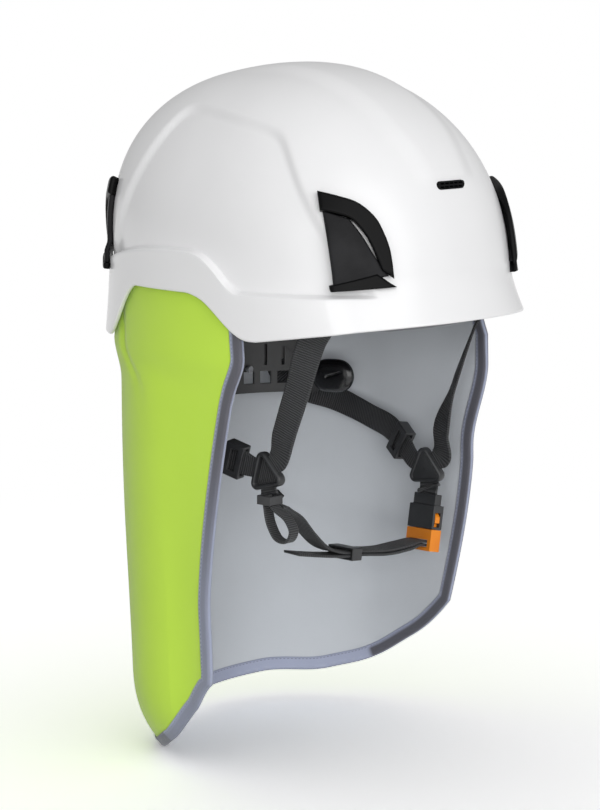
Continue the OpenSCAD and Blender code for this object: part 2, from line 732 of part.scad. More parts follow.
// Toothed band end: a strip round the nape that climbs to its pivot eye, with a toothed slot at the back.
rack_root = pinion_pitch_r + 1.25 * tooth_module;
slot_clear = pinion_tip_r + 0.9;
slot_reach = 11;
tail_end = 16;
rack_teeth = 3;
module band_tail(side) {
    r = tail_r(side);
    pitch = 180 * tooth_module / (r + tail_t / 2);
    up = side;
    lift = side > 0 ? 0.5 : 0;
    slope_y = nape_y + r * cos(36);
    half = tail_h / 2;
    color("#303236")
        difference() {
            union() {
                difference() {
                    intersection() {
                        rotate_side(side)
                            nape_arc(-tail_end, 94)
                                translate([r, rack_z - half]) square([tail_t, pivot_z - rack_z + 2 * half]);
                        translate([-150, 0, 0])
                            rotate([90, 0, 90])
                                linear_extrude(300)
                                    polygon([[nape_y + r + 9, rack_z - half], [nape_y + r + 9, rack_z + half],
                                        [slope_y, rack_z + half], [nape_y + 6, pivot_z + 6.5],
                                        [nape_y - 8, pivot_z + 6.5], [nape_y - 8, pivot_z - 6.5],
                                        [nape_y, pivot_z - 6.5], [slope_y, rack_z - half]]);
                    }
                    rotate_side(side)
                        nape_arc(-slot_reach, slot_reach)
                            translate([r - 1, rack_z - (up > 0 ? slot_clear : rack_root)])
                                square([tail_t + 2, slot_clear + rack_root]);
                }
                for (i = [-rack_teeth : rack_teeth])
                    translate([0, nape_y, rack_z])
                        rotate([0, 0, (i + lift) * pitch])
                            translate([0, r + tail_t - 0.15, 0])
                                rotate([90, 0, 0])
                                    linear_extrude(tail_t - 0.3)
                                        polygon([[-1.0, up * (rack_root + 0.6)], [-1.0, up * rack_root],
                                            [-0.36, up * (pinion_pitch_r - 0.85 * tooth_module)],
                                            [0.36, up * (pinion_pitch_r - 0.85 * tooth_module)],
                                            [1.0, up * rack_root], [1.0, up * (rack_root + 0.6)]]);
            }
            translate([side * r, nape_y, pivot_z])
                rotate([0, 90, 0])
                    cylinder(r = pivot_r + eye_gap, h = 20, center = true, $fn = 64);
        }
}

module band_tail_right() band_tail(-1);
module band_tail_left() band_tail(1);

// Strap divider: a rounded triangle with a window on its outer face and a slot in each side.
// Side 0 takes the rear strap; sides 1 and 2 take the other two.
divider_round = 4;
divider_floor = 1.8;
divider_inner = divider_side - 2 * divider_round;
slot_depth_z = divider_floor / 2 - 0.3;
module strap_divider_at(f, at) {
    reach = divider_inner / (2 * sqrt(3)) + divider_round;
    color("#303236")
        set_in(f, at)
            rotate([90, 0, 0])
                difference() {
                    translate([0, 0, -divider_t / 2])
                        linear_extrude(divider_t)
                            round_triangle(divider_inner, divider_round);
                    translate([0, 0, -divider_t / 2 + divider_floor])
                        linear_extrude(divider_t)
                            round_triangle(divider_inner - 3, divider_round - 1.8);
                    for (a = [0, 120, 240])
                        rotate([0, 0, a])
                            translate([0, -reach, slot_depth_z])
                                cube([web_w + 2 * web_gap, reach, web_t + 2 * web_gap], center = true);
                }
}

right_divider_frame = frame_of([0, -0.96, -0.27], [0, -0.27, 0.96]);
left_divider_frame = frame_of([0.1, -0.92, -0.4], [0, 0.4, -0.92]);
module strap_divider_right() strap_divider_at(right_divider_frame, right_divider);
module strap_divider_left() strap_divider_at(left_divider_frame, left_divider);

// Where webbing meets a side of a divider, at a distance from its centre, and the way that side runs.
side_out_of = [[0, -1], [cos(30), 0.5], [-cos(30), 0.5]];
port_end = 7;
function port(f, at, k, d) = let(m = side_out_of[k]) place(f, at, [m.x * d, -slot_depth_z, m.y * d]);
function port_side(f, k) = let(m = side_out_of[k]) f[2] * m.x - f[0] * m.y;
function right_port(k, d) = port(right_divider_frame, right_divider, k, d);
function right_ports(k) = [for (d = [13, 10, port_end]) right_port(k, d)];
function left_port(k, d) = port(left_divider_frame, left_divider, k, d);
function left_ports(k) = [for (d = [13, 10, port_end]) left_port(k, d)];

// Routes of the four harness straps, from the shell to the dividers. The sliders sit on straight stretches.
// The rear straps pass outside the nape cradle, clear of its end pads.
strap_round = 9.5;
right_round = -cradle_r - strap_round;
left_round = cradle_r + strap_round + 1;
right_slide_a = [-75.8, -2.5, -105.4];
right_slide_b = [-73, -17, -109.8];
left_slide_a = [77.4, -8, -110.4];
left_slide_b = [72, -22, -118.8];
front_right_route = [each anchor_mouth(-anchor_front_t), [-77, -73, -32], [-75, -60, -62],
    [-73.5, -48, -90], each right_ports(1)];
front_left_route = [each anchor_mouth(anchor_front_t), [77, -76, -36], [75, -63, -75],
    [72.5, -56, -104], each left_ports(2)];
rear_right_route = [each anchor_mouth(-anchor_rear_t), [-57, 92, -45], [-68, 74, -76],
    [right_round, 42, -84], [right_round, 14, -93],
    right_slide_a, (right_slide_a + right_slide_b) / 2, right_slide_b,
    right_port(0, 10), right_port(0, port_end)];
rear_left_route = [each anchor_mouth(anchor_rear_t), [57, 92, -48], [67, 74, -84],
    [left_round, 48, -95], [left_round, 20, -103],
    left_slide_a, (left_slide_a + left_slide_b) / 2, left_slide_b,
    left_port(0, 10), left_port(0, port_end)];
front_right_lie = -anchor_frame(-anchor_front_t)[0];
front_left_lie = anchor_frame(anchor_front_t)[0];
rear_right_lie = -anchor_frame(-anchor_rear_t)[0];
rear_left_lie = -anchor_frame(anchor_rear_t)[0];
right_rear_side = port_side(right_divider_frame, 0);
left_rear_side = -port_side(left_divider_frame, 0);
right_front_side = -port_side(right_divider_frame, 1);
left_front_side = port_side(left_divider_frame, 2);
module front_strap_right() color("#3a3b3d")
    webbing(front_right_route, [each four(front_right_lie), [-0.5, 0.8, 0], [-0.2, 1, 0], [-0.1, 1, 0.1],
        right_front_side, right_front_side, right_front_side], web_w, web_t);
module front_strap_left() color("#3a3b3d")
    webbing(front_left_route, [each four(front_left_lie), [0.8, 0.6, 0], [0.7, 0.7, 0], [0.3, 1, 0.2],
        left_front_side, left_front_side, left_front_side], web_w, web_t);
module rear_strap_right() color("#3a3b3d")
    webbing(rear_right_route, [each four(rear_right_lie), [1, 0.5, 0], [0.4, 0.6, 1], [0, 0.3, 1],
        [0, 0.3, 1], each four(right_rear_side), right_rear_side], web_w, web_t, 3);
module rear_strap_left() color("#3a3b3d")
    webbing(rear_left_route, [each four(rear_left_lie), [1, -0.5, 0], [-0.4, 0.6, 1], [0, 0.3, 1],
        [0, 0.3, 1], each four(left_rear_side), left_rear_side], web_w, web_t, 3);

// Strap slider: a sleeve with two bars, on a straight stretch of the rear strap.
slider_wall = 2;
slider_room = 1.6;
module strap_slider_at(a, b, across) {
    f = frame_of(b - a, across);
    inner_t = web_t + 2 * web_gap + slider_room;
    color("#242628")
        set_in(f, (a + b) / 2)
            difference() {
                cube([web_w + 2 * slider_wall + 2 * web_gap, inner_t + 2 * slider_wall, slider_l],
                    center = true);
                cube([web_w + 2 * web_gap, inner_t, slider_l + 2], center = true);
                for (s = [-1, 1])
                    translate([0, s * (inner_t / 2 + slider_wall), 0])
                        cube([web_w - 3, 3 * slider_wall, slider_l / 3], center = true);
            }
}

module strap_slider_right() strap_slider_at(right_slide_a, right_slide_b, right_rear_side);
module strap_slider_left() strap_slider_at(left_slide_a, left_slide_b, left_rear_side);

// Side loop: webbing folded into a teardrop under the right divider, held by a sleeve.
loop_x = -80;
loop_route = [[loop_x, -40.8, -125.2], [loop_x, -41.4, -131], [loop_x, -44.5, -143], [loop_x, -51, -150.5],
    [loop_x, -58.5, -150.5], [loop_x, -62, -144.5], [loop_x, -58, -137.5], [loop_x, -49, -132.5],
    [loop_x, -45.2, -128.8], [loop_x, -44.6, -125.2]];
sleeve_h = 5.5;
module side_loop() color("#3a3b3d")
    webbing(loop_route, [for (p = loop_route) [1, 0, 0]], loop_w, web_t, 3);
module side_loop_sleeve() {
    deep = 11.2;
    color("#242628")
        translate([loop_x, -42.9, -127.2])
            difference() {
                cube([loop_w + 3, deep, sleeve_h], center = true);
                cube([loop_w + 0.8, deep - 2.4, sleeve_h + 2], center = true);
            }
}

// Chin strap: from the right divider under the chin to the buckle, with its tail folded back under it.
chin_lie = [0.1, 1, 0];
right_chin_side = -port_side(right_divider_frame, 2);
layer_gap = 0.6;
layer_step = web_t + layer_gap;
strap_slot_z = -plug_l + 4.6;
function in_plug(y, z) = place(buckle_turn, buckle_at, [0, y, strap_slot_z + z]);
chin_route = [right_port(2, port_end), right_port(2, 10), right_port(2, 13), [-63, -36, -134],
    [-49.5, -35, -143], [-38, -35, -155], [-24, -34.5, -166], keeper_at + [-8, 0, -8 * keeper_slope],
    keeper_at + [8, 0, 8 * keeper_slope], [30, -38, -175], [43, -43.2, -173.4], in_plug(-7, layer_step / 2),
    in_plug(2.4, layer_step / 2)];
tail_route = [[-43.9, -28, -167.8], [-24, -31.5, -171.4],
    keeper_at + [-8, 0, -8 * keeper_slope - layer_step], keeper_at + [8, 0, 8 * keeper_slope - layer_step],
    [30, -38, -177.4], [43, -43.2, -175.8], in_plug(-7, -layer_step / 2), in_plug(2.4, -layer_step / 2)];
buckle_lie = buckle_turn[0];
module chin_strap() color("#3a3b3d")
    webbing(chin_route, [right_chin_side, right_chin_side, right_chin_side, [0.1, 1, 0.1],
        each four(chin_lie), chin_lie, chin_lie, chin_lie, buckle_lie, buckle_lie], web_w, web_t, 3);
module chin_strap_tail() color("#3a3b3d")
    webbing(tail_route, [each four(chin_lie), chin_lie, chin_lie, buckle_lie, buckle_lie], web_w, web_t, 3);
module strap_keeper() {
    room = 0.5;
    wall = 1.5;
    inner_t = web_t + layer_step + 2 * room;
    color("#242628")
        set_in(frame_of([1, 0, keeper_slope], chin_lie), keeper_at + [0, 0, -layer_step / 2])
            difference() {
                cube([web_w + 2 * room + 2 * wall, inner_t + 2 * wall, keeper_l], center = true);
                cube([web_w + 2 * room, inner_t, keeper_l + 2], center = true);
            }
}

// Buckle: a socket on the hanger, and a plug with two spring prongs that show in the socket's side windows.
socket_wall = 1.8;
socket_mid = 6;
prong_w = 4.2;
prong_reach = 15;
prong_gap = 0.35;
module in_buckle() {
    set_in(buckle_turn, buckle_at) children();
}

module buckle_socket() {
    inner_w = buckle_w - 2 * socket_wall;
    color("#3c3d40")
        in_buckle()
            difference() {
                union() {
                    translate([-buckle_w / 2, -buckle_t / 2, 0]) cube([buckle_w, buckle_t, socket_l]);
                    translate([-buckle_w / 2 + 1.4, -2.6, socket_l - 1]) cube([buckle_w - 2.8, 5.2, 8]);
                }
                translate([-inner_w / 2, -buckle_t / 2 + socket_wall, -1])
                    cube([inner_w, buckle_t - 2 * socket_wall, socket_l - 1]);
                for (s = [-1, 1])
                    translate([s * buckle_w / 2, 0, socket_l - 9])
                        cube([10, buckle_t - 2 * socket_wall, 9], center = true);
                translate([0, 0, socket_l + 7])
                    cube([web_w + 2 * web_gap + 0.6, web_t + 2 * web_gap + 1.2, 10], center = true);
            }
}

module buckle_plug() {
    color("orange")
        in_buckle()
            difference() {
                union() {
                    translate([-buckle_w / 2, -buckle_t / 2, -plug_l])
                        cube([buckle_w, buckle_t, plug_l - 0.3]);
                    translate([-socket_mid / 2, -buckle_t / 2 + socket_wall + prong_gap, -1])
                        cube([socket_mid, buckle_t - 2 * socket_wall - 2 * prong_gap, socket_l - 4]);
                }
                for (s = [-1, 1])
                    translate([s * (prong_x + 0.5), 0, -2.8])
                        cube([prong_w + 2.4, buckle_t - 2 * socket_wall + 0.2, 7.6], center = true);
                translate([0, 0, strap_slot_z])
                    cube([web_w + 2 * web_gap + 0.6, buckle_t + 2, 4.8], center = true);
                for (s = [-1, 1])
                    translate([s * prong_x, 0, prong_hinge_z])
                        rotate([90, 0, 0])
                            cylinder(r = hinge_r, h = buckle_t - 2.4, center = true, $fn = 32);
            }
}

// Spring prong: a leg on a round root, with a catch that fills the socket's side window.
prong_x = buckle_w / 2 - socket_wall - prong_w / 2 - 0.9;
prong_hinge_z = -4.4;
hinge_r = 1.3;
module buckle_prong(side) {
    t = buckle_t - 2 * socket_wall - 2 * prong_gap;
    color("orange")
        in_buckle()
            translate([side * prong_x, 0, prong_hinge_z]) {
                rotate([90, 0, 0])
                    cylinder(r = hinge_r - run_gap, h = buckle_t - 2.6, center = true, $fn = 32);
                translate([-prong_w / 2 + side * 0.2, -t / 2, 0]) cube([prong_w - 0.4, t, prong_reach - 1]);
                translate([0, t / 2, 0])
                    rotate([90, 0, 0])
                        linear_extrude(t)
                            polygon([[0, 7.4], [side * (prong_w / 2 + 2.6), 8.6],
                                [side * (prong_w / 2 + 2.6), 12.2], [side * (prong_w / 2 - 0.4), 15.6],
                                [0, 15.6]]);
            }
}

module buckle_prong_front() buckle_prong(-1);
module buckle_prong_rear() buckle_prong(1);

// Buckle hanger: short webbing from the left divider into the socket's top.
left_hang_side = -port_side(left_divider_frame, 1);
hanger_route = [left_port(1, port_end), left_port(1, 11),
    for (rise = [9.6, 6.6, 3.4]) place(buckle_turn, buckle_at, [0, 0, socket_l + rise])];
module buckle_hanger() color("#3a3b3d")
    webbing(hanger_route, [left_hang_side, left_hang_side, buckle_lie, buckle_lie, buckle_lie], web_w, web_t,
        3);

// Neck shade: a cloth that follows the shell's inner wall at the top and hangs round the neck.
// s runs from the right front edge (-1) round the back to the left front edge (1).
shade_cols = 40;
shade_top_z = 0;
shade_in = 3;
shade_front_t = 75.75;
shade_skew = 3.75;
shade_lean = 4.5;
shade_n = 2.05;
shade_mid_y = 25;
back_share = 0.7;
hem_tilt = 0.06;
corner_cut = 9;
tuck_side = 9;
tuck_back = 12;
hem_dip = 6;
function front_y(s, z) =
    s < 0
    ? -37 + 29 * (1 - pow(1 - min(1, max(0, (-34 - z) / 156)), 2))
        + corner_cut * smooth(hem_front_z + 10, hem_front_z - 22, z)
    : -60 + 36 * pow(min(1.2, max(0, (-38 - z) / 201)), 1.5);
function hem_z(x, y) =
    hem_back_z + (hem_front_z - hem_back_z) * pow(max(0, shade_back_y - y) / (shade_back_y + 27), 1.87)
    + hem_tilt * x + smooth(0, -60, x) * (-hem_dip + 11 * smooth(32, -2, y));
function low_plan(s, z) =
    let(tuck = smooth(hem_back_z + 48, hem_back_z - 2, z))
    let(half = shade_half_w - 2 * smooth(-150, -290, z) - tuck_side * tuck)
    let(back = shade_back_y - 6 * smooth(-80, -280, z) - shade_mid_y - tuck_back * tuck)
    let(q = 90 * min(1, abs(s) / back_share), f = max(0, abs(s) - back_share) / (1 - back_share))
    [sign(s) * half * pow(sin(q), 2 / shade_n) + shade_lean * smooth(-80, -280, z),
        lerp(shade_mid_y + back * spow(cos(q), 2 / shade_n), front_y(s, z), f)];
function top_plan(s, z) =
    let(t = 180 - s * (180 - shade_front_t + (s < 0 ? -1 : 1) * shade_skew))
    let(p = wall_at(t, max(z, -44), -shade_in))
    [p.x, p.y];
function fold_at(s, z) =
    3.5 * exp(-pow((abs(s) - 0.5) / 0.09, 2) - pow((z + 36) / 13, 2))
    + 2.2 * sin(540 * s) * smooth(-70, -230, z);
function shade_plan(s, z, d) =
    let(k = smooth(-44, -96, z), p = lerp(top_plan(s, z), low_plan(s, z), k))
    let(e = 0.01, a = lerp(top_plan(s - e, z), low_plan(s - e, z), k))
    let(b = lerp(top_plan(s + e, z), low_plan(s + e, z), k), n = unit([a.y - b.y, b.x - a.x]))
    p + n * (d + (z < -44 ? fold_at(s, z) : fold_at(s, z) * smooth(-30, -44, z)));
function hem_at(s) =
    let(p = shade_plan(s, -265, 0))
    hem_z(p.x, p.y) + (s < 0 ? corner_cut : corner_cut / 3) * smooth(0.88, 1, abs(s));
shade_s = [for (i = [0 : shade_cols]) -1 + 2 * i / shade_cols];
shade_v = [0, 0.1, 0.2, 0.3, 0.4, 0.5, 0.6, 0.7, 0.8, 0.87, 0.94, 1];
shade_rows = len(shade_v) - 1;
function shade_pt(s, v, d) = let(z = lerp(shade_top_z, hem_at(s), v), p = shade_plan(s, z, d)) [p.x, p.y, z];
function shade_grid(d) = [for (v = shade_v) [for (s = shade_s) shade_pt(s, v, d)]];
lining_out = -shade_t - cloth_gap;
// A point on the flat cells between the cloth's grid points.
function cell_of(marks, x, k = 0) = k >= len(marks) - 2 || x <= marks[k + 1] ? k : cell_of(marks, x, k + 1);
function cloth_pt(s, v, d) =
    let(i = cell_of(shade_s, s), k = cell_of(shade_v, v))
    let(p = (s - shade_s[i]) / (shade_s[i + 1] - shade_s[i]))
    let(q = (v - shade_v[k]) / (shade_v[k + 1] - shade_v[k]))
    lerp(lerp(shade_pt(shade_s[i], shade_v[k], d), shade_pt(shade_s[i + 1], shade_v[k], d), p),
        lerp(shade_pt(shade_s[i], shade_v[k + 1], d), shade_pt(shade_s[i + 1], shade_v[k + 1], d), p), q);

module neck_shade_outer() color("yellowgreen")
    slab(shade_grid(0), shade_grid(-shade_t));
module neck_shade_lining() color("darkgray")
    slab(shade_grid(lining_out), shade_grid(lining_out - lining_t));

// Binding: a folded strip over the front edges and the hem of both cloths.
// Each place on the edge is [s, v, part of the width to go inwards along s, and along v].
edge_path = concat([for (k = [1 : shade_rows - 1]) [-1, shade_v[k], 1, 0]], [[-1, 0.97, 1, 0], [-1, 1, 1, 1]],
    [for (i = [1 : shade_cols - 1]) [shade_s[i], 1, 0, 1]], [[1, 1, 1, 1], [1, 0.97, 1, 0]],
    [for (k = [shade_rows - 1 : -1 : 1]) [1, shade_v[k], 1, 0]]);
lining_in = lining_out - lining_t;
step_s = 1 / shade_cols;
step_v = 0.05;
bind_gap = 0.5;
module neck_shade_binding() {
    fold = 0.3;
    levels = [bind_gap + binding_t, lining_in - bind_gap - binding_t, lining_in - bind_gap, bind_gap];
    rings = [for (q = edge_path)
        let(s = q[0], v = q[1], e = shade_pt(s, v, 0))
        let(ds = norm(shade_pt(s - (s < 0 ? -1 : 1) * step_s, v, 0) - e) / step_s)
        let(dv = norm(shade_pt(s, v - step_v, 0) - e) / step_v)
        let(s_in = s - sign(s) * q[2] * binding_w / ds, v_in = v - q[3] * binding_w / dv)
        let(edge = [for (d = levels) cloth_pt(s, v, d)], deep = [for (d = levels) cloth_pt(s_in, v_in, d)])
        let(out = [for (i = [0 : 3]) unit(edge[i] - deep[i])], far = fold + binding_t)
        [deep[0], edge[0] + out[0] * far, edge[1] + out[1] * far, deep[1], deep[2], edge[2] + out[2] * fold,
            edge[3] + out[3] * fold, deep[3]]];
    color("lightsteelblue")
        channel(rings);
}

// A closed skin over rings that are folded channels of eight points.
module channel(rings) {
    n = 8;
    last = len(rings) - 1;
    sides = [for (k = [0 : last - 1], i = [0 : n - 1])
        let(j = (i + 1) % n, a = k * n + i, b = k * n + j, c = a + n, d = b + n) each [[a, b, d], [a, d, c]]];
    cap = [[0, 6, 1], [0, 7, 6], [1, 5, 2], [1, 6, 5], [2, 4, 3], [2, 5, 4]];
    ends = concat(cap, [for (f = cap) [last * n + f[0], last * n + f[2], last * n + f[1]]]);
    polyhedron([for (r = rings) each r], concat(sides, ends));
}

// Hook-and-loop pads between the shade's top and the shell's wall.
module neck_shade_pads() {
    color("black")
        for (t = [102, 140, 180, 220, 258])
            wall_patch(t - 8, t + 8, shade_top_z - 4, shade_top_z - 1, -shade_in + 0.3, -0.9, 5, 2);
}

outer_shell();
eps_liner();
front_vent_insert();
lamp_clip_front_right();
lamp_clip_front_left();
lamp_clip_rear_right();
lamp_clip_rear_left();
crown_pads();
headband();
brow_pad();
strap_anchor_front_right();
strap_anchor_front_left();
strap_anchor_rear_right();
strap_anchor_rear_left();
nape_pivot_pin_right();
nape_pivot_pin_left();
nape_cradle();
nape_pad_right();
nape_pad_left();
adjuster_housing();
adjuster_screws();
size_knob();
pinion();
band_tail_right();
band_tail_left();
front_strap_right();
front_strap_left();
rear_strap_right();
rear_strap_left();
strap_divider_right();
strap_divider_left();
strap_slider_right();
strap_slider_left();
side_loop();
side_loop_sleeve();
chin_strap();
chin_strap_tail();
strap_keeper();
buckle_hanger();
buckle_socket();
buckle_plug();
buckle_prong_front();
buckle_prong_rear();
neck_shade_outer();
neck_shade_lining();
neck_shade_binding();
neck_shade_pads();
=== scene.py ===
"""Work helmet with a chin harness and a hanging neck shade: its looks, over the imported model.

Shape functions work in millimetres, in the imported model's frame: the front is -Y, the wearer's left is +X
and up is +Z. Angles are degrees from the front towards the wearer's left. Meshes are in metres.
"""
import json
import math

import bmesh
import bpy
import numpy as np
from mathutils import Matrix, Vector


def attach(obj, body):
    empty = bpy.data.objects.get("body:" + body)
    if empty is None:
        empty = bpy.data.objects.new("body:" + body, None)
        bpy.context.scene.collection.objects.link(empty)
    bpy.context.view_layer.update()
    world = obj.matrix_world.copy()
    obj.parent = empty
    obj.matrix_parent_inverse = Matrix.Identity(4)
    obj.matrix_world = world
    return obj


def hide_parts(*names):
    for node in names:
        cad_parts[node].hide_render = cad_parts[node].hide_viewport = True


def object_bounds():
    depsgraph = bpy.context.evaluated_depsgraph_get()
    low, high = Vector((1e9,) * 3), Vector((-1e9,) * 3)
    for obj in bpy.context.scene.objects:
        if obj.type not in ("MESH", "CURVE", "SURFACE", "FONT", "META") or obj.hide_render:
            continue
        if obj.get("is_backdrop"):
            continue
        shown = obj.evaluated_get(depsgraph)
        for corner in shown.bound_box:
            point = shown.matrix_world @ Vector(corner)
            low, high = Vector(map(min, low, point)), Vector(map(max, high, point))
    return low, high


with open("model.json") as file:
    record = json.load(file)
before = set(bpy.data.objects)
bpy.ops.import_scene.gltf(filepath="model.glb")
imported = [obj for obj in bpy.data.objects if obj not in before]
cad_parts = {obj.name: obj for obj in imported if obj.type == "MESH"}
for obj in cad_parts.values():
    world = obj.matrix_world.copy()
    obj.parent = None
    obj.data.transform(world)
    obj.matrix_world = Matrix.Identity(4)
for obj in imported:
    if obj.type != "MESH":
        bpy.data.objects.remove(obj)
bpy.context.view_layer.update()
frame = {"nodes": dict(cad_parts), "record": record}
BODIES = frame["record"]["behaviour"]["bodies"]
BODY_OF = {node: body for body, nodes in BODIES.items() for node in nodes}
MM = 0.001


def show(obj):
    """Puts an object into the scene."""
    bpy.context.scene.collection.objects.link(obj)


def stand_round(obj, centre, turn, rise, off):
    """Stands a camera or lamp on a sphere round a point, at angles round and over it, and aims it there."""
    turn, rise = math.radians(turn), math.radians(rise)
    way = np.array([math.sin(turn) * math.cos(rise), -math.cos(turn) * math.cos(rise), math.sin(rise)])
    obj.location = (np.array(centre) + way * off) * MM
    obj.rotation_euler = (math.pi / 2 - rise, 0, turn)
    show(obj)


# Camera: where it looks, its angles round and over the helmet, and how far off it stands.
LOOK_AT = (0.0, 5.0, -85.0)
CAMERA_TURN, CAMERA_RISE, CAMERA_OFF = -48.0, 9.0, 1650.0
CAMERA_LENS, SENSOR_H = 117.3, 36.0
SIGHT_END = 100


def camera():
    """Perspective camera at the photograph's angle."""
    data = bpy.data.cameras.new("camera")
    data.sensor_fit = "VERTICAL"
    data.sensor_height = SENSOR_H
    data.lens = CAMERA_LENS
    data.clip_end = SIGHT_END
    obj = bpy.data.objects.new("camera", data)
    stand_round(obj, LOOK_AT, CAMERA_TURN, CAMERA_RISE, CAMERA_OFF)
    bpy.context.scene.camera = obj


camera()


# Small maths, on whole arrays.
def smooth(low, high, x):
    """Smooth step: 0 before low, 1 after high, 3t^2 - 2t^3 between them."""
    t = np.clip((x - low) / (high - low), 0, 1)
    return t * t * (3 - 2 * t)


def lerp(a, b, t):
    """Straight blend from a to b."""
    return a + (b - a) * t


def unit(v):
    """Vectors cut to length 1."""
    return v / np.linalg.norm(v, axis=-1, keepdims=True)


def spow(v, p):
    """Power of the size of v, with the sign of v."""
    return np.sign(v) * np.abs(v) ** p


def sin_d(angle):
    """Sine of an angle in degrees."""
    return np.sin(np.radians(angle))


def cos_d(angle):
    """Cosine of an angle in degrees."""
    return np.cos(np.radians(angle))


def frame_of(up, across):
    """Rows: across, through and up, at right angles, from a direction up and a rough direction across."""
    u = unit(np.array(up, float))
    n = unit(np.cross(np.array(across, float), u))
    return np.array([np.cross(u, n), n, u])


def place(turned, at, p):
    """A point given in a frame, in the helmet's own frame."""
    return np.array(at, float) + np.asarray(p, float) @ turned


# Meshes.
def grid_faces(rows, cols, wrap_rows=False, wrap_cols=False):
    """Quads over a grid of points stored row by row; a wrapped direction joins its last line to its first."""
    k = np.arange(rows if wrap_rows else rows - 1)
    i = np.arange(cols if wrap_cols else cols - 1)
    k, i = np.meshgrid(k, i, indexing="ij")
    k2, i2 = (k + 1) % rows, (i + 1) % cols
    return np.stack([k * cols + i, k * cols + i2, k2 * cols + i2, k2 * cols + i], -1).reshape(-1, 4)


def slab(outer, inner, uv=None):
    """A closed slab between two grids of one size: both faces, and a rim of quads along their borders."""
    rows, cols = outer.shape[:2]
    n = rows * cols
    index = np.arange(n).reshape(rows, cols)
    rim = np.concatenate([index[0, :-1], index[:-1, -1], index[-1, :0:-1], index[:0:-1, 0]])
    after = np.roll(rim, -1)
    face = grid_faces(rows, cols)
    side = np.stack([rim, after, after + n, rim + n], -1)
    points = np.concatenate([outer.reshape(-1, 3), inner.reshape(-1, 3)])
    faces = np.concatenate([face, face[:, ::-1] + n, side])
    return points, [faces], None if uv is None else np.concatenate([uv.reshape(-1, 2)] * 2)


def fan(tip, ring, flip=False):
    """Triangles from a tip to a ring of points, all by index."""
    after = np.roll(ring, -1)
    pair = [after, ring] if flip else [ring, after]
    return np.stack([np.full(len(ring), tip)] + pair, -1)


def swept(rings, closed=False, uv=None):
    """A tube over rings of points; an open one is closed at both ends by fans on their middles."""
    rows, cols = rings.shape[:2]
    points = rings.reshape(-1, 3)
    faces = [grid_faces(rows, cols, wrap_rows=closed, wrap_cols=True)]
    lay = None if uv is None else uv.reshape(-1, 2)
    if not closed:
        n = rows * cols
        faces += [fan(n, np.arange(cols), True), fan(n + 1, np.arange(n - cols, n))]
        points = np.concatenate([points, rings[:1].mean(1), rings[-1:].mean(1)])
        if uv is not None:
            lay = np.concatenate([lay, uv[[0, -1]].mean(1)])
    return points, faces, lay


def mesh_of(name, parts):
    """One mesh from several (points, face arrays, UVs) parts, its faces turned outwards."""
    verts, faces, uvs, base = [], [], [], 0
    for points, groups, uv in parts:
        verts.append(points)
        uvs.append(np.zeros((len(points), 2)) if uv is None else uv)
        for group in groups:
            faces.append(group + base)
        base += len(points)
    verts = np.concatenate(verts) * MM
    uvs = np.concatenate(uvs)
    loops = np.concatenate([f.reshape(-1) for f in faces]).astype(np.int32)
    counts = np.concatenate([np.full(len(f), f.shape[1]) for f in faces]).astype(np.int32)
    mesh = bpy.data.meshes.new(name)
    mesh.vertices.add(len(verts))
    mesh.vertices.foreach_set("co", verts.astype(np.float32).reshape(-1))
    mesh.loops.add(len(loops))
    mesh.loops.foreach_set("vertex_index", loops)
    mesh.polygons.add(len(counts))
    mesh.polygons.foreach_set("loop_start", np.concatenate([[0], np.cumsum(counts)[:-1]]).astype(np.int32))
    mesh.update(calc_edges=True)
    layer = mesh.uv_layers.new(name="lay")
    layer.data.foreach_set("uv", uvs[loops].astype(np.float32).reshape(-1))
    turned = bmesh.new()
    turned.from_mesh(mesh)
    bmesh.ops.recalc_face_normals(turned, faces=turned.faces)
    turned.to_mesh(mesh)
    turned.free()
    mesh.validate()
    return mesh


def dress(name, mesh, material, nodes, sharp=None):
    """A piece from a mesh and a material. It takes its body from the nodes that it stands for, the
    first of them leading; a piece that only adds to a node names it with a plus sign and hides nothing."""
    mesh.materials.clear()
    mesh.materials.append(material)
    mesh.polygons.foreach_set("use_smooth", np.ones(len(mesh.polygons), bool))
    if sharp is not None:
        mesh.set_sharp_from_angle(angle=math.radians(sharp))
    obj = bpy.data.objects.new(name, mesh)
    show(obj)
    lead = nodes[0].lstrip("+")
    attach(obj, BODY_OF[lead])
    hidden = [node for node in nodes if not node.startswith("+")]
    if hidden:
        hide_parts(*hidden)
    return obj


def piece(name, parts, material, *nodes):
    """A new piece from its parts."""
    return dress(name, mesh_of(name, parts), material, nodes)


# Rounding of CAD nodes: points merge within so many metres, and angles are in degrees.
MERGE_WITHIN = 2e-6
FLAT_WITHIN, SHARP_FROM, ROUND_FROM = 0.6, 30, 32
ROUND_STEPS = 3


def rounded(node, material, width):
    """A copy of a CAD node with rounded edges: doubles merged, flat faces joined, sharp edges bevelled."""
    mesh = frame["nodes"][node].data.copy()
    work = bmesh.new()
    work.from_mesh(mesh)
    bmesh.ops.remove_doubles(work, verts=work.verts, dist=MERGE_WITHIN)
    bmesh.ops.dissolve_limit(work, angle_limit=math.radians(FLAT_WITHIN), verts=work.verts, edges=work.edges)
    work.to_mesh(mesh)
    work.free()
    obj = dress(node + "_rounded", mesh, material, [node], SHARP_FROM)
    bevel = obj.modifiers.new("edges", "BEVEL")
    bevel.width = width * MM
    bevel.segments = ROUND_STEPS
    bevel.limit_method = "ANGLE"
    bevel.angle_limit = math.radians(ROUND_FROM)
    bevel.use_clamp_overlap = True
    bevel.harden_normals = True
    return obj


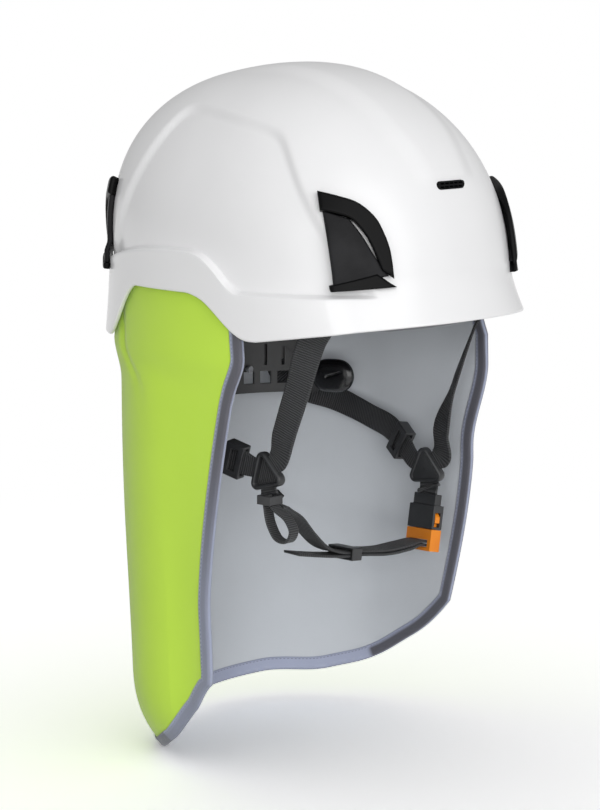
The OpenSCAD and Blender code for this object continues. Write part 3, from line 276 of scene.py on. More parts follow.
# Materials. Shared effects are node groups; shaders stay in the material.
class Wires:
    """Places nodes in a tree and links them."""

    def __init__(self, tree):
        self.tree = tree

    def add(self, kind, **values):
        made = self.tree.nodes.new(kind)
        for key, value in values.items():
            setattr(made, key, value)
        return made

    def link(self, source, target):
        self.tree.links.new(source, target)

    def feed(self, socket, value):
        """Sets a socket's value, or links an output to it."""
        if isinstance(value, bpy.types.NodeSocket):
            self.link(value, socket)
        else:
            socket.default_value = value

    def math(self, operation, a, b=0.0, clamp=False):
        made = self.add("ShaderNodeMath", operation=operation, use_clamp=clamp)
        self.feed(made.inputs[0], a)
        self.feed(made.inputs[1], b)
        return made.outputs[0]

    def times(self, a, b):
        return self.math("MULTIPLY", a, b)

    def plus(self, a, b, clamp=False):
        return self.math("ADD", a, b, clamp)

    def ridges(self, value, pitch):
        """Rounded ridges, one to each pitch of the value."""
        return self.math("ABSOLUTE", self.math("SINE", self.times(value, math.pi / pitch)))

    def mix(self, share, a, b):
        made = self.add("ShaderNodeMix", data_type="RGBA")
        self.feed(made.inputs[0], share)
        self.feed(made.inputs[6], a)
        self.feed(made.inputs[7], b)
        return made.outputs[2]

    def blend(self, share, a, b):
        """A mix of two shader nodes."""
        made = self.add("ShaderNodeMixShader")
        self.link(share, made.inputs[0])
        self.link(a.outputs[0], made.inputs[1])
        self.link(b.outputs[0], made.inputs[2])
        return made

    def ramp(self, value, low, high, out_low=0.0, out_high=1.0):
        made = self.add("ShaderNodeMapRange")
        made.interpolation_type = "SMOOTHSTEP"
        self.feed(made.inputs["Value"], value)
        self.feed(made.inputs["From Min"], low)
        self.feed(made.inputs["From Max"], high)
        self.feed(made.inputs["To Min"], out_low)
        self.feed(made.inputs["To Max"], out_high)
        return made.outputs["Result"]

    def noise(self, vector, scale, detail=3.0, rough=0.5):
        made = self.add("ShaderNodeTexNoise")
        self.feed(made.inputs["Vector"], vector)
        self.feed(made.inputs["Scale"], scale)
        made.inputs["Detail"].default_value = detail
        made.inputs["Roughness"].default_value = rough
        return made.outputs["Fac"]

    def parts(self, vector):
        made = self.add("ShaderNodeSeparateXYZ")
        self.feed(made.inputs[0], vector)
        return made.outputs


def effect(name, inputs, outputs, fill):
    """A shader node group with named sockets; fill(wires, sockets) returns its outputs by name."""
    tree = bpy.data.node_groups.new(name, "ShaderNodeTree")
    for label, kind, value in inputs:
        socket = tree.interface.new_socket(label, in_out="INPUT", socket_type=kind)
        if value is not None:
            socket.default_value = value
    for label, kind in outputs:
        tree.interface.new_socket(label, in_out="OUTPUT", socket_type=kind)
    wires = Wires(tree)
    into = wires.add("NodeGroupInput")
    out = wires.add("NodeGroupOutput")
    made = fill(wires, into.outputs)
    for label, socket in made.items():
        wires.link(socket, out.inputs[label])
    return tree


FLOAT, VECTOR = "NodeSocketFloat", "NodeSocketVector"


def moulded_fill(w, i):
    """Moulded plastic: a fine grain, a slow unevenness of the surface, and faint handling marks."""
    grain = w.noise(i["Place"], i["Grain size"], 2.0, 0.6)
    slow = w.noise(i["Place"], 45.0, 2.0)
    marks = w.ramp(w.noise(i["Place"], 260.0, 5.0, 0.7), 0.56, 0.74)
    height = w.plus(w.times(grain, i["Grain"]), w.times(slow, i["Waviness"]))
    rough = w.plus(i["Roughness"], w.times(w.math("SUBTRACT", slow, 0.5), i["Variation"]))
    rough = w.plus(rough, w.times(marks, i["Marks"]), clamp=True)
    return {"Height": height, "Roughness": rough, "Shade": w.ramp(slow, 0.3, 0.7)}


MOULDED = effect(
    "moulded_surface",
    [("Place", VECTOR, None), ("Grain size", FLOAT, 2500.0), ("Grain", FLOAT, 0.5), ("Waviness", FLOAT, 0.2),
     ("Roughness", FLOAT, 0.3), ("Variation", FLOAT, 0.1), ("Marks", FLOAT, 0.05)],
    [("Height", FLOAT), ("Roughness", FLOAT), ("Shade", FLOAT)],
    moulded_fill,
)


def weave_fill(w, i):
    """Plain weave from UV in metres: rounded threads that pass over and under each other, of uneven yarn."""
    axes = w.parts(i["Lay"])
    u = w.math("DIVIDE", axes[0], i["Thread"])
    v = w.math("DIVIDE", axes[1], i["Thread"])
    parity = w.math("MODULO", w.plus(w.math("FLOOR", u), w.math("FLOOR", v)), 2.0)
    over = w.math("ABSOLUTE", parity)
    under = w.math("SUBTRACT", 1.0, over)
    thread = w.plus(w.times(w.ridges(u, 1.0), over), w.times(w.ridges(v, 1.0), under))
    yarn = w.noise(i["Lay"], 900.0, 3.0)
    cloudy = w.noise(i["Lay"], 28.0, 3.0)
    shade = w.plus(w.times(thread, 0.35), w.times(yarn, 0.25))
    shade = w.plus(shade, w.times(cloudy, 0.4), clamp=True)
    return {"Height": w.plus(thread, w.times(yarn, 0.5)), "Shade": shade}


WEAVE = effect(
    "plain_weave",
    [("Lay", VECTOR, None), ("Thread", FLOAT, 0.0006)],
    [("Height", FLOAT), ("Shade", FLOAT)],
    weave_fill,
)
YARN_PITCH, EDGE_BLEND = 0.0009, 0.0006


def ribs_fill(w, i):
    """Harness webbing from UV in metres: ribs across its length, fine yarn along it, and plain edges. The
    ribs also paint highlight and shade into the colour.
    """
    axes = w.parts(i["Lay"])
    rib = w.math("SINE", w.times(w.math("DIVIDE", axes[1], i["Pitch"]), 2 * math.pi))
    rib = w.times(w.plus(rib, 1.0), 0.5)
    yarn = w.ridges(axes[0], YARN_PITCH)
    fuzz = w.noise(i["Lay"], 1800.0, 2.0)
    edge = w.ramp(w.math("ABSOLUTE", axes[0]), i["Edge"], w.plus(i["Edge"], EDGE_BLEND))
    body = w.math("SUBTRACT", 1.0, edge)
    height = w.plus(w.times(w.times(rib, body), 0.8), w.times(yarn, 0.25))
    height = w.plus(height, w.times(fuzz, 0.25))
    # Colour: painted highlight on the rib crests and painted shade between them, over the yarn's and fuzz's
    # own uneven tone.
    shade = w.plus(w.times(rib, 0.6), w.times(yarn, 0.12))
    shade = w.plus(shade, w.times(fuzz, 0.28), clamp=True)
    return {"Height": height, "Shade": shade}


RIBS = effect(
    "ribbed_webbing",
    [("Lay", VECTOR, None), ("Pitch", FLOAT, 0.0016), ("Edge", FLOAT, 0.0072)],
    [("Height", FLOAT), ("Shade", FLOAT)],
    ribs_fill,
)


def principled(name, **sockets):
    """An empty material with a Principled BSDF, and constants on its own sockets."""
    material = bpy.data.materials.new(name)
    material.use_nodes = True
    shader = material.node_tree.nodes["Principled BSDF"]
    for label, value in sockets.items():
        shader.inputs[label.replace("_", " ")].default_value = value
    return material, shader, Wires(material.node_tree)


def bump(w, shader, height, strength, distance):
    """Feeds a height to the shader's normal."""
    made = w.add("ShaderNodeBump")
    made.inputs["Strength"].default_value = strength
    made.inputs["Distance"].default_value = distance
    w.link(height, made.inputs["Height"])
    w.link(made.outputs["Normal"], shader.inputs["Normal"])


def rgba(color):
    """Linear colour with full alpha, from an sRGB triple in 0 to 255."""
    c = np.array(color, float) / 255
    lin = np.where(c <= 0.04045, c / 12.92, ((c + 0.055) / 1.055) ** 2.4)
    return (*lin.tolist(), 1.0)


def grouped(w, tree, lay, values):
    """Places an effect group that reads the piece's own coordinates, and gives back its outputs."""
    where = w.add("ShaderNodeTexCoord")
    group = w.add("ShaderNodeGroup", node_tree=tree)
    w.link(where.outputs[lay], group.inputs[0])
    for label, value in values.items():
        group.inputs[label].default_value = value
    return group.outputs


def tone(w, made, dark, color):
    """Colour between a dark and a full one, by an effect's shade."""
    return w.mix(made["Shade"], rgba(dark), rgba(color))


FINE_RELIEF, RIB_RELIEF, BEAD_RELIEF = 0.0002, 0.0005, 0.0006


def plastic(name, color, dark, rough, grain, size=2500.0, wavy=0.15, strength=0.25, coat=0.0, variation=0.12,
            marks=0.05, ior=1.5):
    """Moulded plastic with its own colour, gloss and grain."""
    material, shader, w = principled(name, Coat_Weight=coat, Coat_Roughness=0.22, IOR=ior)
    made = grouped(w, MOULDED, "Object", {"Grain size": size, "Grain": grain, "Waviness": wavy,
                                          "Roughness": rough, "Variation": variation, "Marks": marks})
    w.link(tone(w, made, dark, color), shader.inputs["Base Color"])
    w.link(made["Roughness"], shader.inputs["Roughness"])
    bump(w, shader, made["Height"], strength, FINE_RELIEF)
    return material


def cloth(name, color, dark, thread, sheen=0.25, strength=0.35):
    """Woven cloth from the piece's own UV."""
    material, shader, w = principled(name, Roughness=0.8, Sheen_Weight=sheen, Sheen_Roughness=0.4)
    made = grouped(w, WEAVE, "UV", {"Thread": thread})
    w.link(tone(w, made, dark, color), shader.inputs["Base Color"])
    bump(w, shader, made["Height"], strength, FINE_RELIEF)
    return material


def webbing_cloth(name, color, dark, pitch, edge=0.0072):
    """Ribbed webbing from the piece's own UV, its ribs painted with highlight and shade."""
    material, shader, w = principled(name, Roughness=0.62, Sheen_Weight=0.08, Sheen_Roughness=0.35, IOR=1.35)
    made = grouped(w, RIBS, "UV", {"Pitch": pitch, "Edge": edge})
    w.link(tone(w, made, dark, color), shader.inputs["Base Color"])
    bump(w, shader, made["Height"], 0.8, RIB_RELIEF)
    return material


def binding_tape(name, color, dark, fold, painted_shade_dark):
    """Lilac binding from the piece's own UV, painted grey as shade where painted_shade says so."""
    material, shader, w = principled(name, Roughness=0.75, Sheen_Weight=0.25, Sheen_Roughness=0.4)
    made = grouped(w, WEAVE, "UV", {"Thread": 0.0007})
    painted_shade = w.add("ShaderNodeAttribute", attribute_name="painted_shade")
    # The grey tone is painted shade: the dark band along the binding's fold and beside its stitches.
    pale, grey = tone(w, made, dark, color), tone(w, made, painted_shade_dark, fold)
    w.link(w.mix(painted_shade.outputs["Fac"], pale, grey), shader.inputs["Base Color"])
    bump(w, shader, made["Height"], 0.4, FINE_RELIEF)
    return material


def foam(name, color, dark, cell):
    """Bead foam: closed cells with dark joints between them."""
    material, shader, w = principled(name, Roughness=0.9)
    where = w.add("ShaderNodeTexCoord")
    cells = w.add("ShaderNodeTexVoronoi", feature="DISTANCE_TO_EDGE")
    w.link(where.outputs["Object"], cells.inputs["Vector"])
    cells.inputs["Scale"].default_value = 1 / cell
    joint = w.ramp(cells.outputs["Distance"], 0.0, 0.12)
    shade = w.times(joint, w.ramp(w.noise(where.outputs["Object"], 120.0), 0.2, 0.8, 0.6, 1.0))
    w.link(w.mix(shade, rgba(dark), rgba(color)), shader.inputs["Base Color"])
    bump(w, shader, joint, 0.4, BEAD_RELIEF)
    return material


# Finishes: name, colour, darker colour, then roughness and grain, thread, rib pitch or bead size.
SHELL_WHITE = plastic("shell_white_gloss", (240, 240, 241), (239, 239, 240), 0.3, 0.05, size=1400.0, wavy=0.0,
                      strength=0.03, coat=0.35, variation=0.03, marks=0.03)
CLIP_BLACK = plastic("clip_black_satin", (10, 10, 11), (6, 6, 7), 0.36, 0.5, size=1500.0, strength=0.2,
                     ior=1.2)
CLIP_PANEL = plastic("clip_panel_grained", (36, 36, 38), (18, 18, 20), 0.5, 1.0, size=1700.0, strength=0.6,
                     ior=1.25)
VENT_BLACK = plastic("vent_black_matt", (7, 7, 8), (4, 4, 5), 0.6, 0.5, size=1500.0, strength=0.2, ior=1.2)
BLACK_SATIN = plastic("frame_black_satin", (36, 37, 39), (24, 25, 27), 0.4, 0.6, size=1800.0)
PAD_BLACK = plastic("nape_black_gloss", (26, 26, 29), (18, 18, 20), 0.22, 0.15, size=900.0, strength=0.1,
                    coat=0.3)
BAND_GREY = plastic("headband_mid_grey", (138, 140, 144), (126, 128, 132), 0.45, 0.4, size=2000.0,
                    strength=0.2)
FITTING_GREY = plastic("fitting_dark_grey", (52, 53, 55), (38, 39, 41), 0.4, 0.5, size=2000.0)
ORANGE = plastic("buckle_orange", (240, 142, 24), (228, 128, 16), 0.36, 0.4, size=2200.0, strength=0.2)
BRASS = plastic("pinion_brass_tone", (190, 150, 80), (160, 122, 60), 0.35, 0.2, strength=0.1)
STEEL = plastic("pin_steel_tone", (176, 178, 182), (140, 142, 147), 0.28, 0.2, strength=0.1)
# The darker colour of each webbing is mostly the painted shade between its ribs.
WEBBING = webbing_cloth("webbing_charcoal", (84, 85, 87), (19, 20, 21), 0.0015)
LOOP_WEBBING = webbing_cloth("loop_webbing_charcoal", (84, 85, 87), (19, 20, 21), 0.0013, edge=0.0034)
LIME = cloth("shade_lime_cloth", (172, 204, 64), (156, 191, 48), 0.0005)
LINING = cloth("shade_grey_lining", (177, 181, 186), (164, 168, 173), 0.0005, sheen=0.15)
# The binding's last two colours are the grey of its painted shade.
TAPE = binding_tape("binding_lilac_tape", (148, 154, 174), (130, 136, 156), (78, 78, 86), (58, 58, 65))
THREAD = cloth("stitch_grey_thread", (120, 125, 140), (96, 100, 116), 0.0003, sheen=0.2)
FOAM = foam("liner_grey_foam", (72, 74, 77), (40, 41, 43), 0.0035)
PAD_CLOTH = cloth("pad_dark_cloth", (52, 54, 58), (38, 40, 43), 0.0012, sheen=0.3, strength=0.6)

# Shell: the plain wall, as in the part's source, and its relief.
DOME_HALF_W, DOME_FRONT, DOME_REAR, DOME_H, DOME_BASE = 104.0, 119.0, 134.0, 116.0, 10.0
DOME_TOP = DOME_BASE + DOME_H
SHELL_WALL = 3.0
PLAN_N, PROFILE_N = 2.3, 2.25
PLAN_Y, CROWN_BACK = -9.0, 15.0
SIDE_OUT, FRONT_OUT, REAR_OUT, FLARE_N = 4.0, 29.0, 2.5, 1.5
NAPE_EDGE, NAPE_LIFT = -43.0, 4.0
EAR_EDGE, FRONT_EDGE, FRONT_FALL, FALL_TO = -5.0, -19.0, 11.0, 74.0
EAR_RISE, NAPE_FALL = (76, 93), (112, 131)
VENT_W, VENT_H, VENT_Z = 25.0, 5.0, 58.5
NORMAL_RISE = 1.2


def wall_at(turn, z, push=0.0):
    """Wall of the shell: a superellipse in plan whose reaches shrink with height on a superellipse, and flare
    below the dome's base; the point moves along a rough normal by push."""
    turn, z, push = np.broadcast_arrays(*(np.asarray(value, float) for value in (turn, z, push)))
    s = np.clip((z - DOME_BASE) / DOME_H, 0, 1)
    c = (1 - s ** PROFILE_N) ** (1 / PROFILE_N)
    f = np.clip((DOME_BASE - z) / (DOME_BASE - NAPE_EDGE), 0, None) ** FLARE_N
    ahead = cos_d(turn) > 0
    yc = PLAN_Y + CROWN_BACK * s
    x = (DOME_HALF_W * c + SIDE_OUT * f) * spow(sin_d(turn), 2 / PLAN_N)
    reach = np.where(ahead, DOME_FRONT * c + FRONT_OUT * f, DOME_REAR * c + REAR_OUT * f)
    y = yc - reach * spow(cos_d(turn), 2 / PLAN_N)
    depth = np.where(ahead, DOME_FRONT, DOME_REAR)
    n = unit(np.stack([x / DOME_HALF_W ** 2, (y - yc) / depth ** 2, s * NORMAL_RISE / DOME_H + 1e-7], -1))
    return np.stack([x, y, z], -1) + push[..., None] * n


def side_angle(turn):
    """Angle from the front, 0 to 180, on either side."""
    m = np.mod(turn, 360)
    return np.where(m > 180, 360 - m, m)


def edge_z(turn):
    """Height of the brim's edge: low before the ears, an arch over them, and low again at the nape."""
    a = side_angle(turn)
    front = FRONT_EDGE - FRONT_FALL * np.clip(a / FALL_TO, 0, 1) ** 2.2
    return lerp(lerp(front, EAR_EDGE, smooth(*EAR_RISE, a)), NAPE_EDGE + NAPE_LIFT, smooth(*NAPE_FALL, a))


BAND_FRONT, BAND_EAR, BAND_FALL, BAND_OUT = -1.5, 21.0, 18.0, 2.6
BAND_RISE, BAND_SINK, BAND_RUN_IN = (78, 92), (97, 165), (44, 52)


def band_z(turn):
    """Height of the lower band's upper line."""
    a = side_angle(turn)
    return lerp(BAND_FRONT, BAND_EAR, smooth(*BAND_RISE, a)) - BAND_FALL * smooth(*BAND_SINK, a)


def band_out(turn):
    """How far the lower band stands out; it runs out before the front."""
    return BAND_OUT * smooth(*BAND_RUN_IN, side_angle(turn))


# Corners of the side panel as [y, z], and the share of the relief that the inner wall follows.
PANEL = np.array([[68.0, 54.0], [37.0, 107.0], [-48.0, 94.0], [-82.0, 44.0]])
PANEL_DEPTH, PANEL_EDGE, PANEL_ROUND = 3.0, 4.5, 5.0
RIDGE_H, RIDGE_HALF_W, RIDGE_TAPER = 2.2, 26.0, 6.0
RIDGE_NARROWS, RIDGE_FADES = (85, 112), (-5, 45)
INNER_SHARE = 0.6
LEDGE = 2.4
SHELL_COLS = 360


def relief(p):
    """Crown ridge and sunk side panels: how far the shell stands out of its plain wall at a point of it."""
    q = p[..., 1:]
    dist = []
    for a, b in ((PANEL[1], PANEL[0]), (PANEL[2], PANEL[1]), (PANEL[3], PANEL[2])):
        d = (b - a) / np.linalg.norm(b - a)
        dist.append(d[0] * (q[..., 1] - a[1]) - d[1] * (q[..., 0] - a[0]))
    near = -PANEL_ROUND * np.log(sum(np.exp(d / PANEL_ROUND) for d in dist))
    half = RIDGE_HALF_W - RIDGE_TAPER * smooth(*RIDGE_NARROWS, -p[..., 1])
    ridge = (1 - smooth(half - 8, half + 9, np.abs(p[..., 0]))) * smooth(VENT_Z, VENT_Z + 6, p[..., 2])
    ridge = ridge * (1 - smooth(*RIDGE_FADES, p[..., 1]))
    return RIDGE_H * ridge - PANEL_DEPTH * smooth(0, PANEL_EDGE, near)


def shell_parts():
    """Closed skin of the shell. Each column runs from the crown down the dome, over the band's ledge, down
    the band, round the edge and up the inside to the crown again."""
    turn = np.arange(SHELL_COLS) * 360.0 / SHELL_COLS
    zt, ze, out = band_z(turn), edge_z(turn), band_out(turn)
    lip = SHELL_WALL / 2

    def dome(q, d, share):
        z = zt + (DOME_TOP - zt) * cos_d(90 * q)[:, None]
        return wall_at(turn, z, relief(wall_at(turn, z)) * share + d)

    down = np.linspace(0, 1, 98)[1:]
    foot = relief(wall_at(turn, zt))
    step = np.linspace(0, 1, 11)[1:, None]
    over = wall_at(turn, zt - LEDGE * step, lerp(foot, out, smooth(0, 1, step)))
    drop = np.linspace(0, 1, 15)[1:, None]
    band = wall_at(turn, lerp(zt - LEDGE, ze + lip, drop), out + 0 * drop)
    bend = np.linspace(0, 180, 11)[1:, None]
    edge = wall_at(turn, ze + lip - lip * sin_d(bend), out - lip + lip * cos_d(bend))
    rise = np.linspace(1, 0, 9)[1:, None]
    inside = wall_at(turn, lerp(zt - LEDGE, ze + lip, rise), out - SHELL_WALL + 0 * rise)
    back = dome(down[::-3], -SHELL_WALL, INNER_SHARE)
    rings = np.concatenate([dome(down, 0, 1), over, band, edge, inside, back])
    crown = np.array([[0, PLAN_Y + CROWN_BACK, DOME_TOP]])
    apex = crown + [0, 0, 1] * relief(crown)[:, None]
    points = np.concatenate([rings.reshape(-1, 3), apex, apex - [0, 0, SHELL_WALL]])
    n = len(rings) * SHELL_COLS
    fans = [fan(n, np.arange(SHELL_COLS)), fan(n + 1, np.arange(n - SHELL_COLS, n), True)]
    return points, [grid_faces(len(rings), SHELL_COLS, wrap_cols=True)] + fans, None


def stadium(length, height):
    """Outline of a slot with round ends, as points round it."""
    a = np.linspace(-90, 90, 13)
    r = height / 2
    right = np.stack([(length - height) / 2 + r * cos_d(a), r * sin_d(a)], -1)
    return np.concatenate([right, -right])


VENT_NEAR, VENT_FAR = -140.0, -100.0
VENT_SHARP = 40


def shell():
    """The shell's skin with the front vent cut through it."""
    obj = piece("shell_skin", [shell_parts()], SHELL_WHITE, "outer_shell")
    outline = stadium(VENT_W, VENT_H) + [0, VENT_Z]
    ring = np.stack([np.insert(outline, 1, y, axis=1) for y in (VENT_NEAR, VENT_FAR)])
    cutter = bpy.data.objects.new("vent_tool", mesh_of("vent_tool", [swept(ring)]))
    show(cutter)
    cut = obj.modifiers.new("vent", "BOOLEAN")
    cut.operation = "DIFFERENCE"
    cut.solver = "EXACT"
    cut.object = cutter
    made = bpy.data.meshes.new_from_object(obj.evaluated_get(bpy.context.evaluated_depsgraph_get()))
    obj.modifiers.clear()
    obj.data = made
    made.set_sharp_from_angle(angle=math.radians(VENT_SHARP))
    bpy.data.objects.remove(cutter)


shell()


# Lamp clips: patches between two curves of [angle, height], set on the shell's wall.
def along_curve(points, share):
    """Point at a share of a smooth curve through a few points (uniform Catmull-Rom, ends carried on)."""
    p = np.array(points, float)
    p = np.concatenate([2 * p[:1] - p[1:2], p, 2 * p[-1:] - p[-2:-1]])
    x = np.clip(share, 0, 1) * (len(points) - 1)
    k = np.minimum(x.astype(int), len(points) - 2)
    t = (x - k)[:, None]
    a, b, c, d = p[k], p[k + 1], p[k + 2], p[k + 3]
    square, cube = 2 * a - 5 * b + 4 * c - d, 3 * b - a - 3 * c + d
    return 0.5 * (2 * b + (c - a) * t + square * t ** 2 + cube * t ** 3)


PATCH_ROWS, PATCH_COLS, PATCH_ROUND = 33, 17, 1.2
REAR_SPREAD = 0.92
MM_PER_DEGREE = 1.7


def patch(side, rear, inner, outer, low, high, edge):
    """A raised patch on the wall: across from one curve to the other, its top rounded off along all four
    borders. A rear patch is the front one turned round to the back, and lifted where it lies on the band."""
    v = 0.5 - 0.5 * np.cos(np.pi * np.linspace(0, 1, PATCH_ROWS)[:, None])
    u = 0.5 - 0.5 * np.cos(np.pi * np.linspace(0, 1, PATCH_COLS)[None, :])
    a = along_curve(inner, v[:, 0])[:, None, :]
    b = along_curve(outer, v[:, 0])[:, None, :]
    q = a + (b - a) * u[..., None]
    turn = side * (180 - REAR_SPREAD * q[..., 0] if rear else q[..., 0])
    z = q[..., 1]
    lift = 0.0
    if rear:
        line = band_z(turn)
        lift = band_out(turn) * (1 - smooth(line + 1, line + 9, z))
    across = np.linalg.norm((b - a) * [MM_PER_DEGREE, 1.0], axis=-1)
    tall = max(np.ptp(np.array(inner)[:, 1]), np.ptp(np.array(outer)[:, 1]))
    near = np.minimum(np.minimum(u, 1 - u) * across, np.minimum(v, 1 - v) * tall)
    crown = np.sqrt(np.clip(1 - (1 - np.clip(near / PATCH_ROUND, 0, 1)) ** 2, 0, 1))
    top = edge + (high - edge) * crown
    foot = low(v + 0 * u) if callable(low) else low
    return slab(wall_at(turn, z, top + lift), wall_at(turn, z, foot + lift + 0 * top))


# Heights over the wall: where a clip's parts sit, and the face and the border of each.
CLIP_SEAT, STRAP_ROOM = 0.3, 2.4
ARM_FACE, ARM_BORDER = 5.3, 3.4
FOOT_FACE, FOOT_BORDER = 4.3, 2.0
CLIP_PANEL_FACE, CLIP_PANEL_BORDER = 3.4, 1.6
# Lines of the front right clip as [angle, height], from the top down.
CLIP_ARM_OUT = [[50.4, 56.4], [43.5, 53.6], [37.4, 50.0], [32.6, 42.6], [30.4, 34.6], [28.8, 23.7],
                [28.4, 8.0]]
CLIP_ARM_IN = [[50.2, 45.8], [44.6, 43.6], [40.2, 40.8], [37.0, 34.0], [35.2, 28.0], [33.6, 20.0],
               [32.2, 12.8]]
CLIP_PANEL_L = [[49.4, 46.2], [48.9, 32.0], [48.5, 18.0], [48.2, 3.8]]
CLIP_PANEL_R = [[40.9, 41.4], [37.1, 31.6], [33.9, 20.6], [29.8, 9.4]]
CLIP_FOOT_L = [[49.6, 4.2], [49.5, 2.4], [49.3, 0.6]]
CLIP_FOOT_R = [[33.9, 11.2], [30.5, 6.6], [27.6, 3.1]]


def arm_low(v):
    """Underside of the arm: on the wall at its root, lifted by a lamp strap's thickness towards its tip."""
    return CLIP_SEAT + STRAP_ROOM * smooth(0.35, 0.55, v)


def lamp_clip(name, side, rear):
    """A clip: the arm that comes from the top and hooks down, the panel under it, and the foot."""
    parts = [
        patch(side, rear, CLIP_ARM_IN, CLIP_ARM_OUT, arm_low, ARM_FACE, ARM_BORDER),
        patch(side, rear, CLIP_FOOT_L, CLIP_FOOT_R, CLIP_SEAT, FOOT_FACE, FOOT_BORDER),
    ]
    piece(name + "_form", parts, CLIP_BLACK, name)
    panel = patch(side, rear, CLIP_PANEL_L, CLIP_PANEL_R, CLIP_SEAT, CLIP_PANEL_FACE, CLIP_PANEL_BORDER)
    piece(name + "_panel", [panel], CLIP_PANEL, "+" + name)


lamp_clip("lamp_clip_front_right", -1, False)
lamp_clip("lamp_clip_front_left", 1, False)
lamp_clip("lamp_clip_rear_right", -1, True)
lamp_clip("lamp_clip_rear_left", 1, True)


# Webbing: a flat tape with round edges along a route, its width along given directions.
def slopes(p):
    """Slope at each route point, which favours the shorter side."""
    step = np.diff(p, axis=0)
    long = np.linalg.norm(step, axis=1, keepdims=True)
    mid = (step[:-1] * long[1:] / long[:-1] + step[1:] * long[:-1] / long[1:]) / (long[:-1] + long[1:])
    return np.concatenate([unit(step[:1]), mid, unit(step[-1:])])


ROUTE_STEPS = 10


def through(p):
    """Cubic Hermite curve through the route's points."""
    m = slopes(p)
    h = np.linalg.norm(np.diff(p, axis=0), axis=1)[:, None, None]
    t = (np.arange(ROUTE_STEPS) / ROUTE_STEPS)[None, :, None]
    b, c, mb, mc = p[:-1, None], p[1:, None], m[:-1, None] * h, m[1:, None] * h
    q, r = t * t, t ** 3
    line = b * (2 * r - 3 * q + 1) + mb * (r - 2 * q + t) + c * (3 * q - 2 * r) + mc * (r - q)
    return np.concatenate([line.reshape(-1, 3), p[-1:]])


def turned_along(v):
    """Directions blended smoothly from one route point to the next."""
    v = unit(v)
    t = smooth(0, 1, np.arange(ROUTE_STEPS) / ROUTE_STEPS)[None, :, None]
    return np.concatenate([lerp(v[:-1, None], v[1:, None], t).reshape(-1, 3), v[-1:]])


def tape_profile(w, t):
    """Cross-section of a tape: flat faces, with the edges a little thicker and round."""
    a = np.linspace(-90, 90, 7)
    flat = np.linspace(-w / 2 + t, w / 2 - t, 9)
    end = np.stack([w / 2 - t / 2 + t / 2 * cos_d(a), t / 2 * sin_d(a)], -1)
    top = np.stack([flat[::-1], np.full(9, t / 2 * 0.94)], -1)
    return np.concatenate([end, top, -end, -top])


def run_along(p):
    """Length along a line of points, from its start."""
    return np.concatenate([[0], np.cumsum(np.linalg.norm(np.diff(p, axis=0), axis=1))])


def webbing(route, across, w, t, narrow=None):
    """Tape along a route: its profile set at right angles to the curve; narrow gives the width's share at
    each point of the route."""
    p = through(np.array(route, float))
    a = turned_along(np.array(across, float))
    along = unit(np.gradient(p, axis=0))
    n = unit(np.cross(along, a))
    s = np.cross(n, along)
    profile = tape_profile(w, t)
    share = np.ones(len(p))
    if narrow is not None:
        share = np.interp(np.arange(len(p)) / ROUTE_STEPS, np.arange(len(route)), narrow)
    wide = profile[None, :, 0] * share[:, None]
    rings = p[:, None] + wide[..., None] * s[:, None] + profile[None, :, 1, None] * n[:, None]
    uv = np.stack(np.broadcast_arrays(profile[None, :, 0], run_along(p)[:, None]), -1)
    return swept(rings, uv=uv * MM)


WEB_W, WEB_T = 16.5, 1.6
ANCHOR_T, ANCHOR_BACK = 4.0, 5.0
ANCHOR_FRONT, ANCHOR_REAR = 52.0, 152.0
MOUTH_DROPS = (1.2, 5, 9, 13)


def anchor_frame(turn):
    """Frame of a strap anchor: along the wall, outwards and up."""
    d = unit((wall_at(turn + 4, 0) - wall_at(turn - 4, 0))[:2])
    return np.array([[d[0], d[1], 0], [d[1], -d[0], 0], [0, 0, 1]])


def anchor_mouth(turn):
    """Points straight below each other, from the webbing's end inside the anchor's slot."""
    f = anchor_frame(turn)
    p = wall_at(turn, 0) - f[1] * (SHELL_WALL + ANCHOR_BACK + ANCHOR_T / 2)
    return [p - [0, 0, drop] for drop in MOUTH_DROPS]


DIVIDER_ROUND, DIVIDER_SIDE, DIVIDER_T = 4.0, 24.0, 6.0
SLOT_DEPTH = 0.6
# The way out of each side of a divider, and how far from its middle webbing passes on its way in.
PORT_OUT = np.array([[0, -1], [math.sqrt(0.75), 0.5], [-math.sqrt(0.75), 0.5]])
PORT_STEPS = (13, 10, 7)
RIGHT_DIVIDER = np.array([-72.0, -33.0, -114.0])
LEFT_DIVIDER = np.array([70.0, -40.0, -129.0])
RIGHT_FRAME = frame_of([0, -0.96, -0.27], [0, -0.27, 0.96])
LEFT_FRAME = frame_of([0.1, -0.92, -0.4], [0, 0.4, -0.92])


def port(turned, at, k, d):
    """Where webbing meets side k of a divider, at a distance from its middle."""
    m = PORT_OUT[k]
    return place(turned, at, [m[0] * d, -SLOT_DEPTH, m[1] * d])


def port_side(turned, k):
    """The way side k of a divider runs."""
    m = PORT_OUT[k]
    return turned[2] * m[0] - turned[0] * m[1]


def ports(turned, at, k):
    """Three points into side k of a divider."""
    return [port(turned, at, k, d) for d in PORT_STEPS]


# Straight stretches of the rear straps, where the sliders sit, and the width's share where webbing enters a
# divider.
RIGHT_SLIDE = np.array([[-75.8, -2.5, -105.4], [-73.0, -17.0, -109.8]])
LEFT_SLIDE = np.array([[77.4, -8.0, -110.4], [72.0, -22.0, -118.8]])
ENTRY_SHARES = [0.9, 0.76, 0.72]


def strap(name, turn, middle, lies, end, end_side, slide=None):
    """A harness strap: from its anchor through the middle points to a divider, narrow where it goes in."""
    lie = anchor_frame(turn)[0] * (1 if turn == ANCHOR_FRONT else -1)
    route = anchor_mouth(turn) + middle
    ways = [lie] * len(MOUTH_DROPS) + lies
    if slide is not None:
        route += [slide[0], slide.mean(0), slide[1]]
        ways += [end_side] * 3
        end = end[1:]
    route += end
    ways += [end_side] * len(end)
    narrow = np.ones(len(route))
    narrow[-3:] = ENTRY_SHARES
    piece(name + "_webbing", [webbing(route, ways, WEB_W, WEB_T, narrow)], WEBBING, name)


